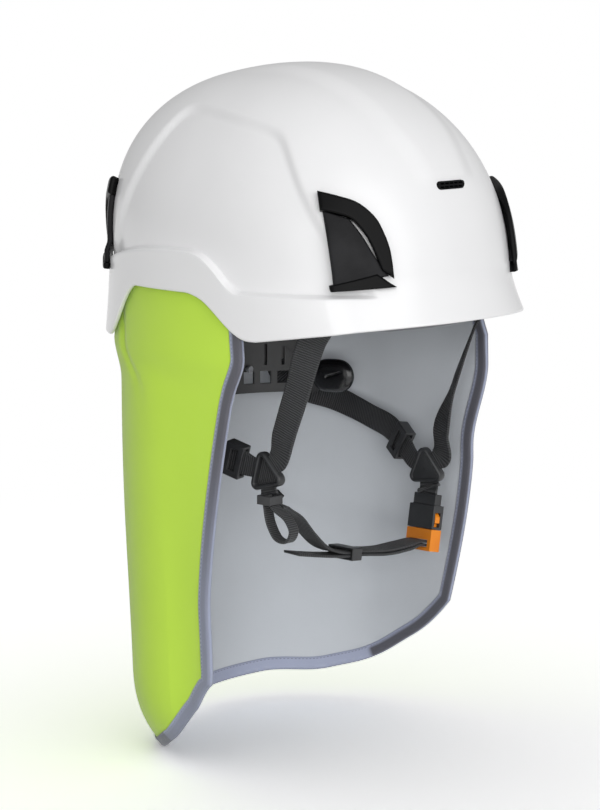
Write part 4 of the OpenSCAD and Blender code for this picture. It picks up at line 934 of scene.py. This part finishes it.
strap("front_strap_right", -ANCHOR_FRONT, [[-77, -73, -32], [-75, -60, -62], [-73.5, -48, -90]],
      [[-0.5, 0.8, 0], [-0.2, 1, 0], [-0.1, 1, 0.1]], ports(RIGHT_FRAME, RIGHT_DIVIDER, 1),
      -port_side(RIGHT_FRAME, 1))
strap("front_strap_left", ANCHOR_FRONT, [[75, -74, -36], [72, -60, -75], [69, -52.5, -104]],
      [[0.8, 0.6, 0], [0.7, 0.7, 0], [0.3, 1, 0.2]], ports(LEFT_FRAME, LEFT_DIVIDER, 2),
      port_side(LEFT_FRAME, 2))
strap("rear_strap_right", -ANCHOR_REAR, [[-57, 92, -45], [-68, 74, -76], [-83, 42, -84], [-83, 14, -93]],
      [[1, 0.5, 0], [0.4, 0.6, 1], [0, 0.3, 1], [0, 0.3, 1]], ports(RIGHT_FRAME, RIGHT_DIVIDER, 0),
      port_side(RIGHT_FRAME, 0), RIGHT_SLIDE)
strap("rear_strap_left", ANCHOR_REAR, [[57, 92, -48], [67, 74, -84], [84, 48, -95], [84, 20, -103]],
      [[1, -0.5, 0], [-0.4, 0.6, 1], [0, 0.3, 1], [0, 0.3, 1]], ports(LEFT_FRAME, LEFT_DIVIDER, 0),
      -port_side(LEFT_FRAME, 0), LEFT_SLIDE)


# Dividers: a rim carried round a rounded triangle, and the plate inside it.
RIM_IN, RIM_HALF_W = 1.3, 1.5
PLATE_Y, PLATE_HALF_T, PLATE_SWELL = 1.6, 0.8, 0.5


def triangle_path(side, r):
    """Closed rounded triangle: arcs round three corners, joined by straight sides."""
    high = side * math.sqrt(3) / 2
    c = np.array([[-side / 2, -high / 3], [side / 2, -high / 3], [0, 2 * high / 3]])
    a = np.array([150, 270, 30])[:, None] + np.linspace(0, 120, 10)
    return (c[:, None] + r * np.stack([cos_d(a), sin_d(a)], -1)).reshape(-1, 2)


def divider(turned, at):
    """Strap divider: a rim of superellipse section, and a plate with a low swell inside it."""
    line = triangle_path(DIVIDER_SIDE - 2 * DIVIDER_ROUND, DIVIDER_ROUND - RIM_IN)
    ahead = np.roll(line, -1, 0) - np.roll(line, 1, 0)
    out = unit(np.stack([ahead[:, 1], -ahead[:, 0]], -1))
    a = np.linspace(0, 360, 20, endpoint=False)
    wide, thick = RIM_HALF_W * spow(cos_d(a), 0.7), DIVIDER_T / 2 * spow(sin_d(a), 0.6)
    flat = line[:, None] + out[:, None] * wide[None, :, None]
    rim = np.stack([flat[..., 0], np.broadcast_to(thick, flat.shape[:2]), flat[..., 1]], -1)
    grow = np.linspace(0, 1, 7)[:, None, None]
    disc = line[None] * grow
    swell = PLATE_SWELL * (1 - grow[..., 0] ** 2) + 0 * disc[..., 0]
    upper = np.stack([disc[..., 0], PLATE_Y + PLATE_HALF_T + swell, disc[..., 1]], -1)
    lower = np.stack([disc[..., 0], PLATE_Y - PLATE_HALF_T + 0 * swell, disc[..., 1]], -1)
    skin = np.concatenate([upper, lower[::-1]])
    plate = swept(place(turned, at, skin), uv=skin[..., [0, 2]] * MM)
    return swept(place(turned, at, rim), closed=True), plate


def dividers():
    """The right divider shows the webbing through its window; the left one turns its plain back to the
    front."""
    rim, web = divider(RIGHT_FRAME, RIGHT_DIVIDER)
    piece("strap_divider_right_form", [rim], FITTING_GREY, "strap_divider_right")
    piece("strap_divider_right_webbing", [web], WEBBING, "+front_strap_right")
    piece("strap_divider_left_form", divider(LEFT_FRAME, LEFT_DIVIDER), FITTING_GREY, "strap_divider_left")


dividers()

# Chin strap, its tail, the buckle's hanger and the side loop.
BUCKLE_AT = np.array([62.3, -45.0, -166.0])
BUCKLE_TURN = frame_of([0.2, 0.02, 1], [0.2, 1, 0])
PLUG_L, SOCKET_L = 14.0, 15.0
STRAP_SLOT = -PLUG_L + 4.6
LAYER = WEB_T + 0.6
KEEPER_AT = np.array([-1.6, -34.0, -172.0])
KEEPER_ENDS = np.array([[-8, 0, 0.8], [8, 0, -0.8]])
CHIN_LIE = [0.1, 1, 0]
LOOP_X, LOOP_W = -80.0, 8.0


def in_plug(layer):
    """The last two points of a layer of webbing, in the plug's strap slot."""
    return [place(BUCKLE_TURN, BUCKLE_AT, [0, y, STRAP_SLOT + layer]) for y in (-7, 2.4)]


def chin_pieces():
    """The chin strap from the right divider to the plug, its tail folded back under it, the buckle's hanger
    and the side loop."""
    lie = BUCKLE_TURN[0]
    route = ports(RIGHT_FRAME, RIGHT_DIVIDER, 2)[::-1] + [
        [-63, -36, -134], [-49.5, -35, -143], [-38, -35, -155], [-24, -34.5, -166],
        *(KEEPER_AT + KEEPER_ENDS), [30, -38, -175], [43, -43.2, -173.4]] + in_plug(LAYER / 2)
    ways = [-port_side(RIGHT_FRAME, 2)] * 3 + [[0.1, 1, 0.1]] + [CHIN_LIE] * 7 + [lie] * 2
    narrow = np.ones(len(route))
    narrow[:3] = [0.72, 0.76, 0.88]
    piece("chin_strap_webbing", [webbing(route, ways, WEB_W, WEB_T, narrow)], WEBBING, "chin_strap")
    route = [[-43.9, -28, -167.8], [-24, -31.5, -171.4], *(KEEPER_AT + KEEPER_ENDS - [0, 0, LAYER]),
             [30, -38, -177.4], [43, -43.2, -175.8]] + in_plug(-LAYER / 2)
    ways = [CHIN_LIE] * 6 + [lie] * 2
    piece("chin_strap_tail_webbing", [webbing(route, ways, WEB_W, WEB_T)], WEBBING, "chin_strap_tail")
    route = [port(LEFT_FRAME, LEFT_DIVIDER, 1, d) for d in (7, 11)]
    route += [place(BUCKLE_TURN, BUCKLE_AT, [0, 0, SOCKET_L + rise]) for rise in (9.6, 6.6, 3.4)]
    ways = [-port_side(LEFT_FRAME, 1)] * 2 + [lie] * 3
    hanger = webbing(route, ways, WEB_W, WEB_T, [0.72, 0.8, 1, 1, 1])
    piece("buckle_hanger_webbing", [hanger], WEBBING, "buckle_hanger")
    route = np.insert([[-40.8, -125.2], [-41.4, -131], [-44.5, -143], [-51, -150.5], [-58.5, -150.5],
                       [-62, -144.5], [-58, -137.5], [-49, -132.5], [-45.2, -128.8], [-44.6, -125.2]],
                      0, LOOP_X, axis=1)
    loop = webbing(route, [[1, 0, 0]] * len(route), LOOP_W, WEB_T)
    piece("side_loop_webbing", [loop], LOOP_WEBBING, "side_loop")


chin_pieces()


# Neck shade: the cloths follow the shell at the top and hang round the neck.
SHADE_IN, SHADE_RIGHT, SHADE_LEFT, SHADE_LEAN, SHADE_N = 3.0, 79.5, 71.0, 4.5, 2.05
SHADE_HALF_W, SHADE_BACK, SHADE_MID, BACK_SHARE = 103.0, 114.0, 25.0, 0.7
HEM_BACK, HEM_FRONT, HEM_TILT, RIGHT_CUT, LEFT_CUT = -293.0, -238.0, 0.06, 9.0, 12.0
TUCK_FROM, TUCK, HEM_DIP, HEM_RISE = -246.0, 19.0, 6.0, 7.0
FRONT_DROP, HEM_PLAN_Z, SHADE_TOP_Z = 10.0, -250.0, -44.0
RIGHT_TOP_Y, RIGHT_BACK, RIGHT_CURL = -32.0, 23.0, 4.0
LEFT_TOP_Y, LEFT_STEP, LEFT_BACK = -62.3, 11.8, 22.0
WAVE, VALLEY, WRINKLE = 2.0, 2.2, 0.35
NEAR_S = 0.01


def front_y(s, z):
    """How far forward the cloth's front edges come: the right one falls back steadily, the left one in two
    steps."""
    fall = 1 - (1 - np.clip((-66 - z) / 130, 0, 1)) ** 1.25
    right = RIGHT_TOP_Y + RIGHT_BACK * fall + RIGHT_CURL * smooth(235, 262, -z)
    low = np.clip((-125 - z) / 107, 0, 1.2) ** 1.35
    left = LEFT_TOP_Y + LEFT_STEP * smooth(62, 118, -z) + LEFT_BACK * low
    return np.where(s < 0, right, left)


def low_plan(s, z):
    """Plan of the hanging cloth: half a superellipse round the back, then straight to the front edges."""
    tuck = TUCK * np.clip((TUCK_FROM - z) / 54, 0, 1.1) ** 2.6
    half = SHADE_HALF_W - 2 * smooth(150, 290, -z) - tuck
    back = SHADE_BACK - 6 * smooth(80, 280, -z) - SHADE_MID - tuck
    q = 90 * np.clip(np.abs(s) / BACK_SHARE, 0, 1)
    f = np.clip(np.abs(s) - BACK_SHARE, 0, None) / (1 - BACK_SHARE)
    x = np.sign(s) * half * np.abs(sin_d(q)) ** (2 / SHADE_N) + SHADE_LEAN * smooth(80, 280, -z)
    y = lerp(SHADE_MID + back * spow(cos_d(q), 2 / SHADE_N), front_y(s, z), f)
    return np.stack([x, y], -1)


def top_plan(s, z):
    """Plan of the cloth's top: inside the shell's wall."""
    turn = 180 - s * (180 - np.where(s < 0, SHADE_RIGHT, SHADE_LEFT))
    return wall_at(turn, np.maximum(z, SHADE_TOP_Z), -SHADE_IN)[..., :2]


def fold_at(s, z):
    """Slow waves towards the hem, and a soft valley that falls from the shell's rear corner."""
    valley = np.exp(-((s + 0.56 - 0.0016 * (z + 45)) / 0.022) ** 2 - ((z + 40) / 22) ** 2)
    return WAVE * sin_d(540 * s) * smooth(70, 230, -z) - VALLEY * valley


def wrinkle_at(s, z):
    """Faint long creases lower down, which fade before the front edges."""
    crease = np.sin(9 * s + 0.021 * z) * smooth(110, 200, -z)
    return WRINKLE * crease * (1 - smooth(0.85, 1, np.abs(s)))


def shade_plan(s, z, d):
    """Plan point of a cloth layer, d along the plan's normal."""
    side = smooth(0.75, 1, np.abs(s))
    k = smooth(42 - 2 * side, 66 + 4 * side, -z)[..., None]
    a, p, b = (lerp(top_plan(s + e, z), low_plan(s + e, z), k) for e in (-NEAR_S, 0, NEAR_S))
    n = unit(np.stack([a[..., 1] - b[..., 1], b[..., 0] - a[..., 0]], -1))
    return p + n * (d + fold_at(s, z) + wrinkle_at(s, z))[..., None]


def hem_at(s):
    """Height of the hem: low at the back and lowest behind the right corner, rising to the front corners,
    which are cut off round."""
    x, y = np.moveaxis(shade_plan(s, np.full_like(s, HEM_PLAN_Z), 0 * s), -1, 0)
    rise = (np.clip(SHADE_BACK - y, 0, None) / (SHADE_BACK + 27)) ** 1.87
    hem = lerp(HEM_BACK, HEM_FRONT, rise) + HEM_TILT * x
    hem = hem + smooth(0, 60, -x) * (11 * smooth(-32, 2, -y) - HEM_DIP)
    hem = hem + HEM_RISE * smooth(-0.5, -0.1, s) * (1 - smooth(0.25, 0.5, s))
    hem = hem - 3 * np.exp(-((s - 0.66) / 0.12) ** 2) - 2.5 * np.exp(-((s + 0.55) / 0.12) ** 2)
    return hem + RIGHT_CUT * smooth(0.88, 1, -s) + LEFT_CUT * np.clip((s - 0.8) / 0.2, 0, 1) ** 3.2


def shade_pt(s, v, d):
    """Point of a cloth layer: s from the right front edge (-1) round to the left one (1), v from top to hem.
    The top is lower at the front edges, behind the shell's band."""
    s, v, d = np.broadcast_arrays(*(np.asarray(value, float) for value in (s, v, d)))
    top = -FRONT_DROP * smooth(0.86, 0.95, np.abs(s))
    z = lerp(top, hem_at(s), v)
    return np.concatenate([shade_plan(s, z, d), z[..., None]], -1)


def arc_uv(points):
    """UV in metres from the lengths along a grid's rows and columns."""
    wide = np.linalg.norm(np.diff(points, axis=1), axis=-1)
    tall = np.linalg.norm(np.diff(points, axis=0), axis=-1)
    u = np.concatenate([np.zeros((len(points), 1)), np.cumsum(wide, 1)], 1)
    v = np.concatenate([np.zeros((1, points.shape[1])), np.cumsum(tall, 0)], 0)
    return np.stack([u - u[:, -1:] / 2, v], -1) * MM


SHADE_S = np.linspace(-1, 1, 241)[None, :]
SHADE_V = np.linspace(0, 1, 91)[:, None]


def cloth_layer(name, node, d_out, d_in, material):
    """One cloth of the neck shade as a thin closed sheet."""
    outer = shade_pt(SHADE_S, SHADE_V, d_out)
    return piece(name, [slab(outer, shade_pt(SHADE_S, SHADE_V, d_in), arc_uv(outer))], material, node)


SHADE_T, LINING_T, CLOTH_GAP = 1.2, 0.8, 0.3
LINING_OUT = -SHADE_T - CLOTH_GAP
LINING_IN = LINING_OUT - LINING_T
shade_outer = cloth_layer("shade_outer_cloth", "neck_shade_outer", 0.0, -SHADE_T, LIME)
shade_lining = cloth_layer("shade_lining_cloth", "neck_shade_lining", LINING_OUT, LINING_IN, LINING)

# Binding: a folded tape over the front edges and the hem, with a row of stitches on each side. Its section
# lies from BINDING_IN to BINDING_OUT on either side of the middle of both cloths.
BINDING_W, BINDING_T, BINDING_ROOM, BINDING_FROM = 7.0, 0.9, 0.25, 0.03
BINDING_MID = LINING_IN / 2
BINDING_IN = -LINING_IN / 2 + BINDING_ROOM
BINDING_OUT = BINDING_IN + BINDING_T
EDGE_STEPS, HEM_STEPS = 90, 221
HEM_PART = slice(EDGE_STEPS, EDGE_STEPS + HEM_STEPS - 2)
SHADE_HEART = np.array([0, 25.0, -120.0])
NEAR_EDGE, NEAR_HEM = 0.004, 0.995


def edge_run():
    """Places along the bound edge as [s, v]: down the right front edge, along the hem and up the left one."""
    down = np.linspace(BINDING_FROM, 1, EDGE_STEPS)
    hem = np.linspace(-1, 1, HEM_STEPS)[1:-1]
    right = np.stack([np.full_like(down, -1), down], -1)
    left = np.stack([np.full_like(down, 1), down[::-1]], -1)
    return np.concatenate([right, np.stack([hem, np.ones_like(hem)], -1), left])


def facing(v, way):
    """Vectors turned round where they point against a way."""
    return v * np.where(np.sum(v * way, -1, keepdims=True) < 0, -1, 1)


def edge_frame():
    """Edge points, and at each the direction into the cloth, the cloth's outward normal and the way ahead,
    which is evened out over nine points."""
    s, v = edge_run().T
    p = shade_pt(s, v, 0)
    pad = np.pad(unit(np.gradient(p, axis=0)), ((4, 4), (0, 0)), mode="edge")
    ahead = unit(np.stack([np.convolve(pad[:, i], np.ones(9) / 9, "valid") for i in range(3)], -1))
    s, v = np.clip(s, -1 + NEAR_EDGE, 1 - NEAR_EDGE), np.minimum(v, NEAR_HEM)
    round_it = shade_pt(s + NEAR_EDGE, v, 0) - shade_pt(s - NEAR_EDGE, v, 0)
    up_it = shade_pt(s, v - NEAR_EDGE, 0) - shade_pt(s, v, 0)
    normal = facing(unit(np.cross(round_it, up_it)), (p - [0, 40, 0]) * [1, 1, 0])
    into = facing(unit(np.cross(normal, ahead)), SHADE_HEART - p)
    return p, into, normal, ahead


def tape_section():
    """Closed section of the tape as [depth into the cloth, height over its middle]: a U with a round fold."""
    a = np.linspace(90, -90, 13)
    deep = np.linspace(BINDING_W, 1.0, 7)
    face = np.stack([deep, BINDING_OUT - 0.35 * (deep / BINDING_W) ** 6], -1)
    fold = np.stack([0.8 - 2.2 * cos_d(a), BINDING_OUT * sin_d(a)], -1)[1:-1]
    wall = np.stack([deep, BINDING_IN + 0 * deep], -1)
    bed = [[-0.2, BINDING_IN * 0.6], [-0.4, 0], [-0.2, -BINDING_IN * 0.6]]
    other = [1, -1]
    outer = np.concatenate([face, fold, face[::-1] * other])
    inner = np.concatenate([wall, bed, wall[::-1] * other])
    return np.concatenate([outer, inner[::-1]])


# The painted shade's places on the hem as s, its reach into the cloth, and the crinkle in the tape where it
# starts.
TIP_FROM, TIP_TO, PAINTED_SHADE_TO = -0.655, -0.4, 0.66
PAINTED_SHADE_W, TIP_SHARE, PAINTED_SHADE_FADE = 5.0, 0.8, 0.55
PUCKER, PUCKER_PITCH, PUCKER_REACH = 0.5, 3.2, 7.0
OTHER_FACE = 20.0


def painted_shade_on(section):
    """Where the tape is painted grey as shade, 0 to 1. A stripe of painted shade runs up both front edges
    beside the stitches and over part of the fold, paler low on the right; it starts on the hem, from a tip of
    painted shade on the right and where the tape is crinkled on the left."""
    s, v = edge_run().T
    x, y = section.T
    on_face = np.where(y > 0, smooth(0.3, 1.0, y), smooth(0.9, 1.5, -y))
    on_face = on_face * (1 - smooth(PAINTED_SHADE_W - 0.3, PAINTED_SHADE_W + 0.3, x))
    right = 1 - smooth(TIP_FROM, TIP_FROM + 0.01, s)
    # The painted shade grows paler lower down the right front edge.
    shade_fade = 1 - PAINTED_SHADE_FADE * smooth(0.3, 0.9, v)
    tip = (1 - right) * (1 - smooth(TIP_TO, TIP_TO + 0.04, s))
    left = smooth(PAINTED_SHADE_TO, PAINTED_SHADE_TO + 0.01, s)
    grey = np.maximum((right * shade_fade + left)[:, None] * on_face, TIP_SHARE * tip[:, None])
    return np.concatenate([grey.reshape(-1), [0, 0]])


def binding(p, into, normal, run):
    """The tape: its section carried along the edge, crinkled where the left stripe of painted shade starts.
    """
    section = tape_section()
    x, y = section.T
    start = np.interp(PAINTED_SHADE_TO, edge_run()[HEM_PART, 0], run[HEM_PART])
    past = run - start
    pucker = PUCKER * np.sin(past * 2 * np.pi / PUCKER_PITCH) * np.exp(-(past / PUCKER_REACH) ** 2)
    lift = np.sign(y) * pucker[:, None] * (np.abs(y) > BINDING_IN + 0.3)
    rings = p[:, None] + x[None, :, None] * into[:, None]
    rings = rings + (y + BINDING_MID + lift)[..., None] * normal[:, None]
    uv = np.stack(np.broadcast_arrays((x + OTHER_FACE * (y < 0))[None], run[:, None]), -1)
    tape = piece("shade_binding_tape", [swept(rings, uv=uv * MM)], TAPE, "neck_shade_binding")
    # The painted shade goes to the tape's material as a point attribute.
    grey = tape.data.attributes.new("painted_shade", "FLOAT", "POINT")
    grey.data.foreach_set("value", painted_shade_on(section).astype(np.float32))
    return tape


STITCH_PITCH, STITCH_L, STITCH_R, STITCH_IN, STITCH_SINK = 2.6, 1.9, 0.28, 5.6, 0.05


def stitches(side, p, into, normal, ahead, run):
    """Stitches along one side of the binding: short round bars that dip into the tape at both ends."""
    at = np.arange(STITCH_PITCH, run[-1] - STITCH_PITCH, STITCH_PITCH)

    def along(values):
        return np.stack([np.interp(at, run, values[:, i]) for i in range(3)], -1)

    high = BINDING_MID + side * (BINDING_OUT - STITCH_SINK)
    centre = along(p) + STITCH_IN * along(into) + high * along(normal)
    ahead_at, normal_at = unit(along(ahead)), unit(along(normal)) * side
    across = np.cross(ahead_at, normal_at)
    x = np.linspace(-1, 1, 5)
    a = np.linspace(0, 360, 6, endpoint=False)
    girth = STITCH_R * np.sqrt(np.clip(1 - 0.85 * x ** 2, 0, 1))
    dip = -0.25 * x ** 2
    rings = (centre[:, None, None] + (STITCH_L / 2 * x)[None, :, None, None] * ahead_at[:, None, None]
             + (girth[:, None] * cos_d(a))[None, ..., None] * across[:, None, None]
             + (dip[:, None] + girth[:, None] * sin_d(a))[None, ..., None] * normal_at[:, None, None])
    count, rows, cols = rings.shape[:3]
    cap = np.array([[0, 1, 2, 3], [3, 4, 5, 0]])
    caps = np.concatenate([cap[:, ::-1], cap + (rows - 1) * cols])
    first = (np.arange(count) * rows * cols)[:, None, None]
    groups = [(face[None] + first).reshape(-1, 4) for face in (grid_faces(rows, cols, wrap_cols=True), caps)]
    return rings.reshape(-1, 3), groups, None


EDGE = edge_frame()
EDGE_LENGTH = run_along(EDGE[0])
shade_binding = binding(*EDGE[:3], EDGE_LENGTH)
shade_stitches = piece("shade_stitches", [stitches(side, *EDGE, EDGE_LENGTH) for side in (1, -1)], THREAD,
                       "+neck_shade_binding")


# Inside of the shell: liner, headband pads, and the soft lobes at the ends of the nape cradle.
LINER_OUT, LINER_IN, LINER_LOW, LINER_ROUND = -5.8, -19.8, 12.0, 2.0


def liner():
    """Bead-foam liner: the shell's wall pushed in by two depths, from the crown to a round lower rim."""
    turn = np.linspace(0, 360, 144, endpoint=False)
    mid, half = (LINER_OUT + LINER_IN) / 2, (LINER_OUT - LINER_IN) / 2
    low = LINER_LOW + LINER_ROUND
    z = low + (DOME_TOP - low) * cos_d(np.linspace(4, 90, 30))[:, None]
    bend = np.linspace(90, -90, 12)[1:-1, None]
    rim = wall_at(turn, low - LINER_ROUND * cos_d(bend), mid + half * sin_d(bend))
    rings = np.concatenate([wall_at(turn, z, LINER_OUT), rim, wall_at(turn, z[::-1], LINER_IN)])
    piece("liner_foam", [swept(rings)], FOAM, "eps_liner")


liner()
BAND_HALF_W, BAND_HALF_L, BAND_Y, BAND_WALL, BAND_LOW, BAND_H = 85.0, 103.0, -4.0, 2.0, -26.0, 28.0


def band_plan(turn, d):
    """Plan of the headband, a superellipse pulled in by d."""
    x = (BAND_HALF_W - d) * spow(sin_d(turn), 2 / PLAN_N)
    return x, BAND_Y - (BAND_HALF_L - d) * spow(cos_d(turn), 2 / PLAN_N)


def pillow(u, v):
    """Crown of a pad over a square of -1 to 1: one in the middle, falling to nothing along its border."""
    return np.clip(1 - np.abs(u) ** 4, 0, 1) ** 0.5 * np.clip(1 - np.abs(v) ** 4, 0, 1) ** 0.5


BROW_HALF, BROW_SWELL, SEWN_EVERY, SEWN_DEPTH, SEWN_W = 62.0, 4.8, 15.0, 0.9, 0.8
CROWN_PAD_TURNS, CROWN_PAD_Z = (-62, 0, 62, 180), 85.0
CROWN_PAD_HALF, CROWN_PAD_HALF_H, CROWN_PAD_SWELL, CROWN_PAD_GAP = 13.0, 19.0, 4.6, 1.2


def brow_pad():
    """Brow pad: a long pillow on the headband's inner face, drawn in along evenly spaced sewn lines."""
    u = np.linspace(-1, 1, 161)[None, :]
    v = np.linspace(-1, 1, 25)[:, None]
    turn = -BROW_HALF * u + 0 * v
    off_line = np.mod(turn + SEWN_EVERY / 2, SEWN_EVERY) - SEWN_EVERY / 2
    sewn = SEWN_DEPTH * np.exp(-(off_line / SEWN_W) ** 2)
    swell = BROW_SWELL * pillow(u ** 3, v) - sewn * pillow(u, v)
    high = BAND_LOW + BAND_H / 2 - v * (BAND_H / 2 - 2) + 0 * u
    near, deep = BAND_WALL + 0.3, BAND_WALL + 0.4 + np.clip(swell, 0, None)
    outer = np.stack([*band_plan(turn, near), high], -1)
    inner = np.stack([*band_plan(turn, deep), high], -1)
    return piece("brow_pad_soft", [slab(outer, inner, arc_uv(outer))], PAD_CLOTH, "brow_pad")


def crown_pads():
    """Four pillows under the liner's crown, on the shell's wall pushed in."""
    u = np.linspace(-1, 1, 33)[None, :]
    v = np.linspace(-1, 1, 33)[:, None]
    z = CROWN_PAD_Z + CROWN_PAD_HALF_H * v + 0 * u
    face = LINER_IN - CROWN_PAD_GAP
    parts = []
    for middle in CROWN_PAD_TURNS:
        turn = middle + CROWN_PAD_HALF * u + 0 * v
        outer = wall_at(turn, z, face)
        inner = wall_at(turn, z, face - 0.3 - CROWN_PAD_SWELL * pillow(u, v))
        parts.append(slab(outer, inner, arc_uv(outer)))
    return piece("crown_pads_soft", parts, PAD_CLOTH, "crown_pads")


brow_pad()
crown_pads()
NAPE_Y, CRADLE_R, CRADLE_WALL, CRADLE_LOW, CRADLE_HALF = 7.0, 73.5, 2.5, -88.0, 58.0
LOBE_L, LOBE_H, LOBE_T, LOBE_TURN = 29.0, 22.0, 9.0, 8.0
GROOVE_X, GROOVE_L, GROOVE_W, GROOVE_DEPTH = 1.5, 9.0, 0.8, 1.1


def nape_lobe(name, side):
    """End lobe of the cradle: a slot-shaped pillow bent round the nape, with a short moulded groove on its
    inner face."""
    q = np.linspace(0, 360, 121)[None, :-1]
    ray = np.sin(np.pi / 2 * np.linspace(0, 1, 30)[1:, None])
    half = LOBE_L / 2 - LOBE_H / 2
    x = (LOBE_H / 2 * cos_d(q)) * ray + half * np.tanh(6 * cos_d(q)) * ray
    y = LOBE_H / 2 * sin_d(q) * ray
    crown = LOBE_T / 2 * np.sqrt(np.clip(1 - ray ** 3.2, 0, 1)) + 0 * q
    t = np.clip((x - GROOVE_X) / GROOVE_L, -0.5, 0.5)
    off = np.hypot(x - (GROOVE_X + GROOVE_L * t), y - (1.0 + 2.6 * t))
    groove = GROOVE_DEPTH * np.exp(-(off / GROOVE_W) ** 2)
    r = CRADLE_R + CRADLE_WALL / 2
    angle = CRADLE_HALF + LOBE_TURN + np.degrees(x / r)

    def bent(depth):
        return np.stack([side * (r + depth) * sin_d(angle), NAPE_Y + (r + depth) * cos_d(angle),
                         CRADLE_LOW + LOBE_H / 2 + y], -1)

    skin = np.concatenate([bent(crown), bent(groove - crown)[-2::-1]])
    piece(name + "_lobe", [swept(skin)], PAD_BLACK, name)


nape_lobe("nape_pad_right", -1)
nape_lobe("nape_pad_left", 1)

# Rounded copies of the CAD nodes whose shapes are right: [node, material, edge radius].
HARD = [
    ["headband", BAND_GREY, 0.5], ["nape_cradle", BLACK_SATIN, 0.5], ["adjuster_housing", BLACK_SATIN, 0.8],
    ["adjuster_screws", STEEL, 0.3], ["size_knob", BLACK_SATIN, 0.6], ["pinion", BRASS, 0.15],
    ["band_tail_right", BLACK_SATIN, 0.3], ["band_tail_left", BLACK_SATIN, 0.3],
    ["nape_pivot_pin_right", STEEL, 0.3], ["nape_pivot_pin_left", STEEL, 0.3],
    ["strap_anchor_front_right", BLACK_SATIN, 0.8], ["strap_anchor_front_left", BLACK_SATIN, 0.8],
    ["strap_anchor_rear_right", BLACK_SATIN, 0.8], ["strap_anchor_rear_left", BLACK_SATIN, 0.8],
    ["strap_slider_right", FITTING_GREY, 0.7], ["strap_slider_left", FITTING_GREY, 0.7],
    ["side_loop_sleeve", FITTING_GREY, 0.5], ["strap_keeper", FITTING_GREY, 0.5],
    ["buckle_socket", FITTING_GREY, 1.2], ["buckle_plug", ORANGE, 1.3],
    ["buckle_prong_front", ORANGE, 0.5], ["buckle_prong_rear", ORANGE, 0.5],
]
for node, material, width in HARD:
    rounded(node, material, width)

# Nodes that keep their solids: the vent's grille, and the flat fastener pads behind the shade's top.
for node, material in (("front_vent_insert", VENT_BLACK), ("neck_shade_pads", PAD_CLOTH)):
    for material_slot in frame["nodes"][node].material_slots:
        material_slot.material = material


# Floor, light and white background.
WORLD_LIGHT = 0.5
FLOOR_HALF, FLOOR_DROP = 40.0, 0.001
FLOOR_PLAIN, FLOOR_GAIN = 0.9, 2.1
GLOW_FROM, GLOW_TO = 0.25, 0.9
# Each lamp: its angle round from the front, its height angle, how far off it stands, its size and its power.
LAMPS = [
    ("key", -24.0, 18.0, 2400, 3.0, 41.0),
    ("side_fill", -60.0, 2.0, 2200, 2.0, 8.0),
    ("inside_fill", -46.0, 0.0, 1900, 1.2, 30.0),
]
LAMPS_AIM = (0.0, 0.0, -50.0)


def grey_diffuse(w, level):
    """A plain matt shader of one grey level."""
    made = w.add("ShaderNodeBsdfDiffuse")
    made.inputs["Color"].default_value = (level, level, level, 1)
    return made


def floor_material():
    """White floor that keeps the shadow near the helmet and glows white further off, where it is seen."""
    material = bpy.data.materials.new("floor_white")
    material.use_nodes = True
    material.node_tree.nodes.clear()
    w = Wires(material.node_tree)
    path = w.add("ShaderNodeLightPath")
    seen = w.plus(path.outputs["Is Camera Ray"], path.outputs["Is Glossy Ray"])
    seen = w.plus(seen, path.outputs["Is Transmission Ray"], clamp=True)
    near = w.blend(seen, grey_diffuse(w, FLOOR_PLAIN), grey_diffuse(w, FLOOR_GAIN))
    where = w.add("ShaderNodeTexCoord")
    x, y = w.parts(where.outputs["Object"])[:2]
    dist = w.math("SQRT", w.plus(w.times(x, x), w.times(y, y)))
    both = w.blend(w.times(w.ramp(dist, GLOW_FROM, GLOW_TO), seen), near, w.add("ShaderNodeEmission"))
    w.link(both.outputs[0], w.add("ShaderNodeOutputMaterial").inputs["Surface"])
    return material


def lay_floor():
    """A pale floor just under the lowest hem."""
    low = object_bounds()[0][2] - FLOOR_DROP
    r = FLOOR_HALF
    mesh = bpy.data.meshes.new("floor")
    mesh.from_pydata([(-r, -r, low), (r, -r, low), (r, r, low), (-r, r, low)], [], [(0, 1, 2, 3)])
    mesh.materials.append(floor_material())
    obj = bpy.data.objects.new("floor", mesh)
    show(obj)
    obj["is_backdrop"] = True
    return obj


def white_surround():
    """An even white world, which lights at its own level and is seen as white."""
    world = bpy.data.worlds.new("surround")
    bpy.context.scene.world = world
    world.use_nodes = True
    world.node_tree.nodes.clear()
    w = Wires(world.node_tree)
    light, white = w.add("ShaderNodeBackground"), w.add("ShaderNodeBackground")
    for background in (light, white):
        background.inputs["Color"].default_value = (1, 1, 1, 1)
    light.inputs["Strength"].default_value = WORLD_LIGHT
    path = w.add("ShaderNodeLightPath")
    seen = w.plus(path.outputs["Is Camera Ray"], path.outputs["Is Transmission Ray"], clamp=True)
    w.link(w.blend(seen, light, white).outputs[0], w.add("ShaderNodeOutputWorld").inputs["Surface"])


def hang_lamps(floor):
    """Soft lamps that leave the floor to the surround. The inside fill lights only the shade, which the brim
    keeps from the other lamps."""
    under_shell = bpy.data.collections.new("under_shell")
    for obj in (shade_outer, shade_lining, shade_binding, shade_stitches):
        under_shell.objects.link(obj)
    off_floor = bpy.data.collections.new("off_floor")
    off_floor.objects.link(floor)
    off_floor.collection_objects[0].light_linking.link_state = "EXCLUDE"
    for name, turn, rise, off, size, power in LAMPS:
        data = bpy.data.lights.new(name, "AREA")
        data.shape = "DISK"
        data.size = size
        data.energy = power
        lamp = bpy.data.objects.new(name, data)
        stand_round(lamp, LAMPS_AIM, turn, rise, off)
        lamp.light_linking.receiver_collection = under_shell if name == "inside_fill" else off_floor


white_surround()
hang_lamps(lay_floor())
bpy.context.scene.view_settings.view_transform = "Standard"
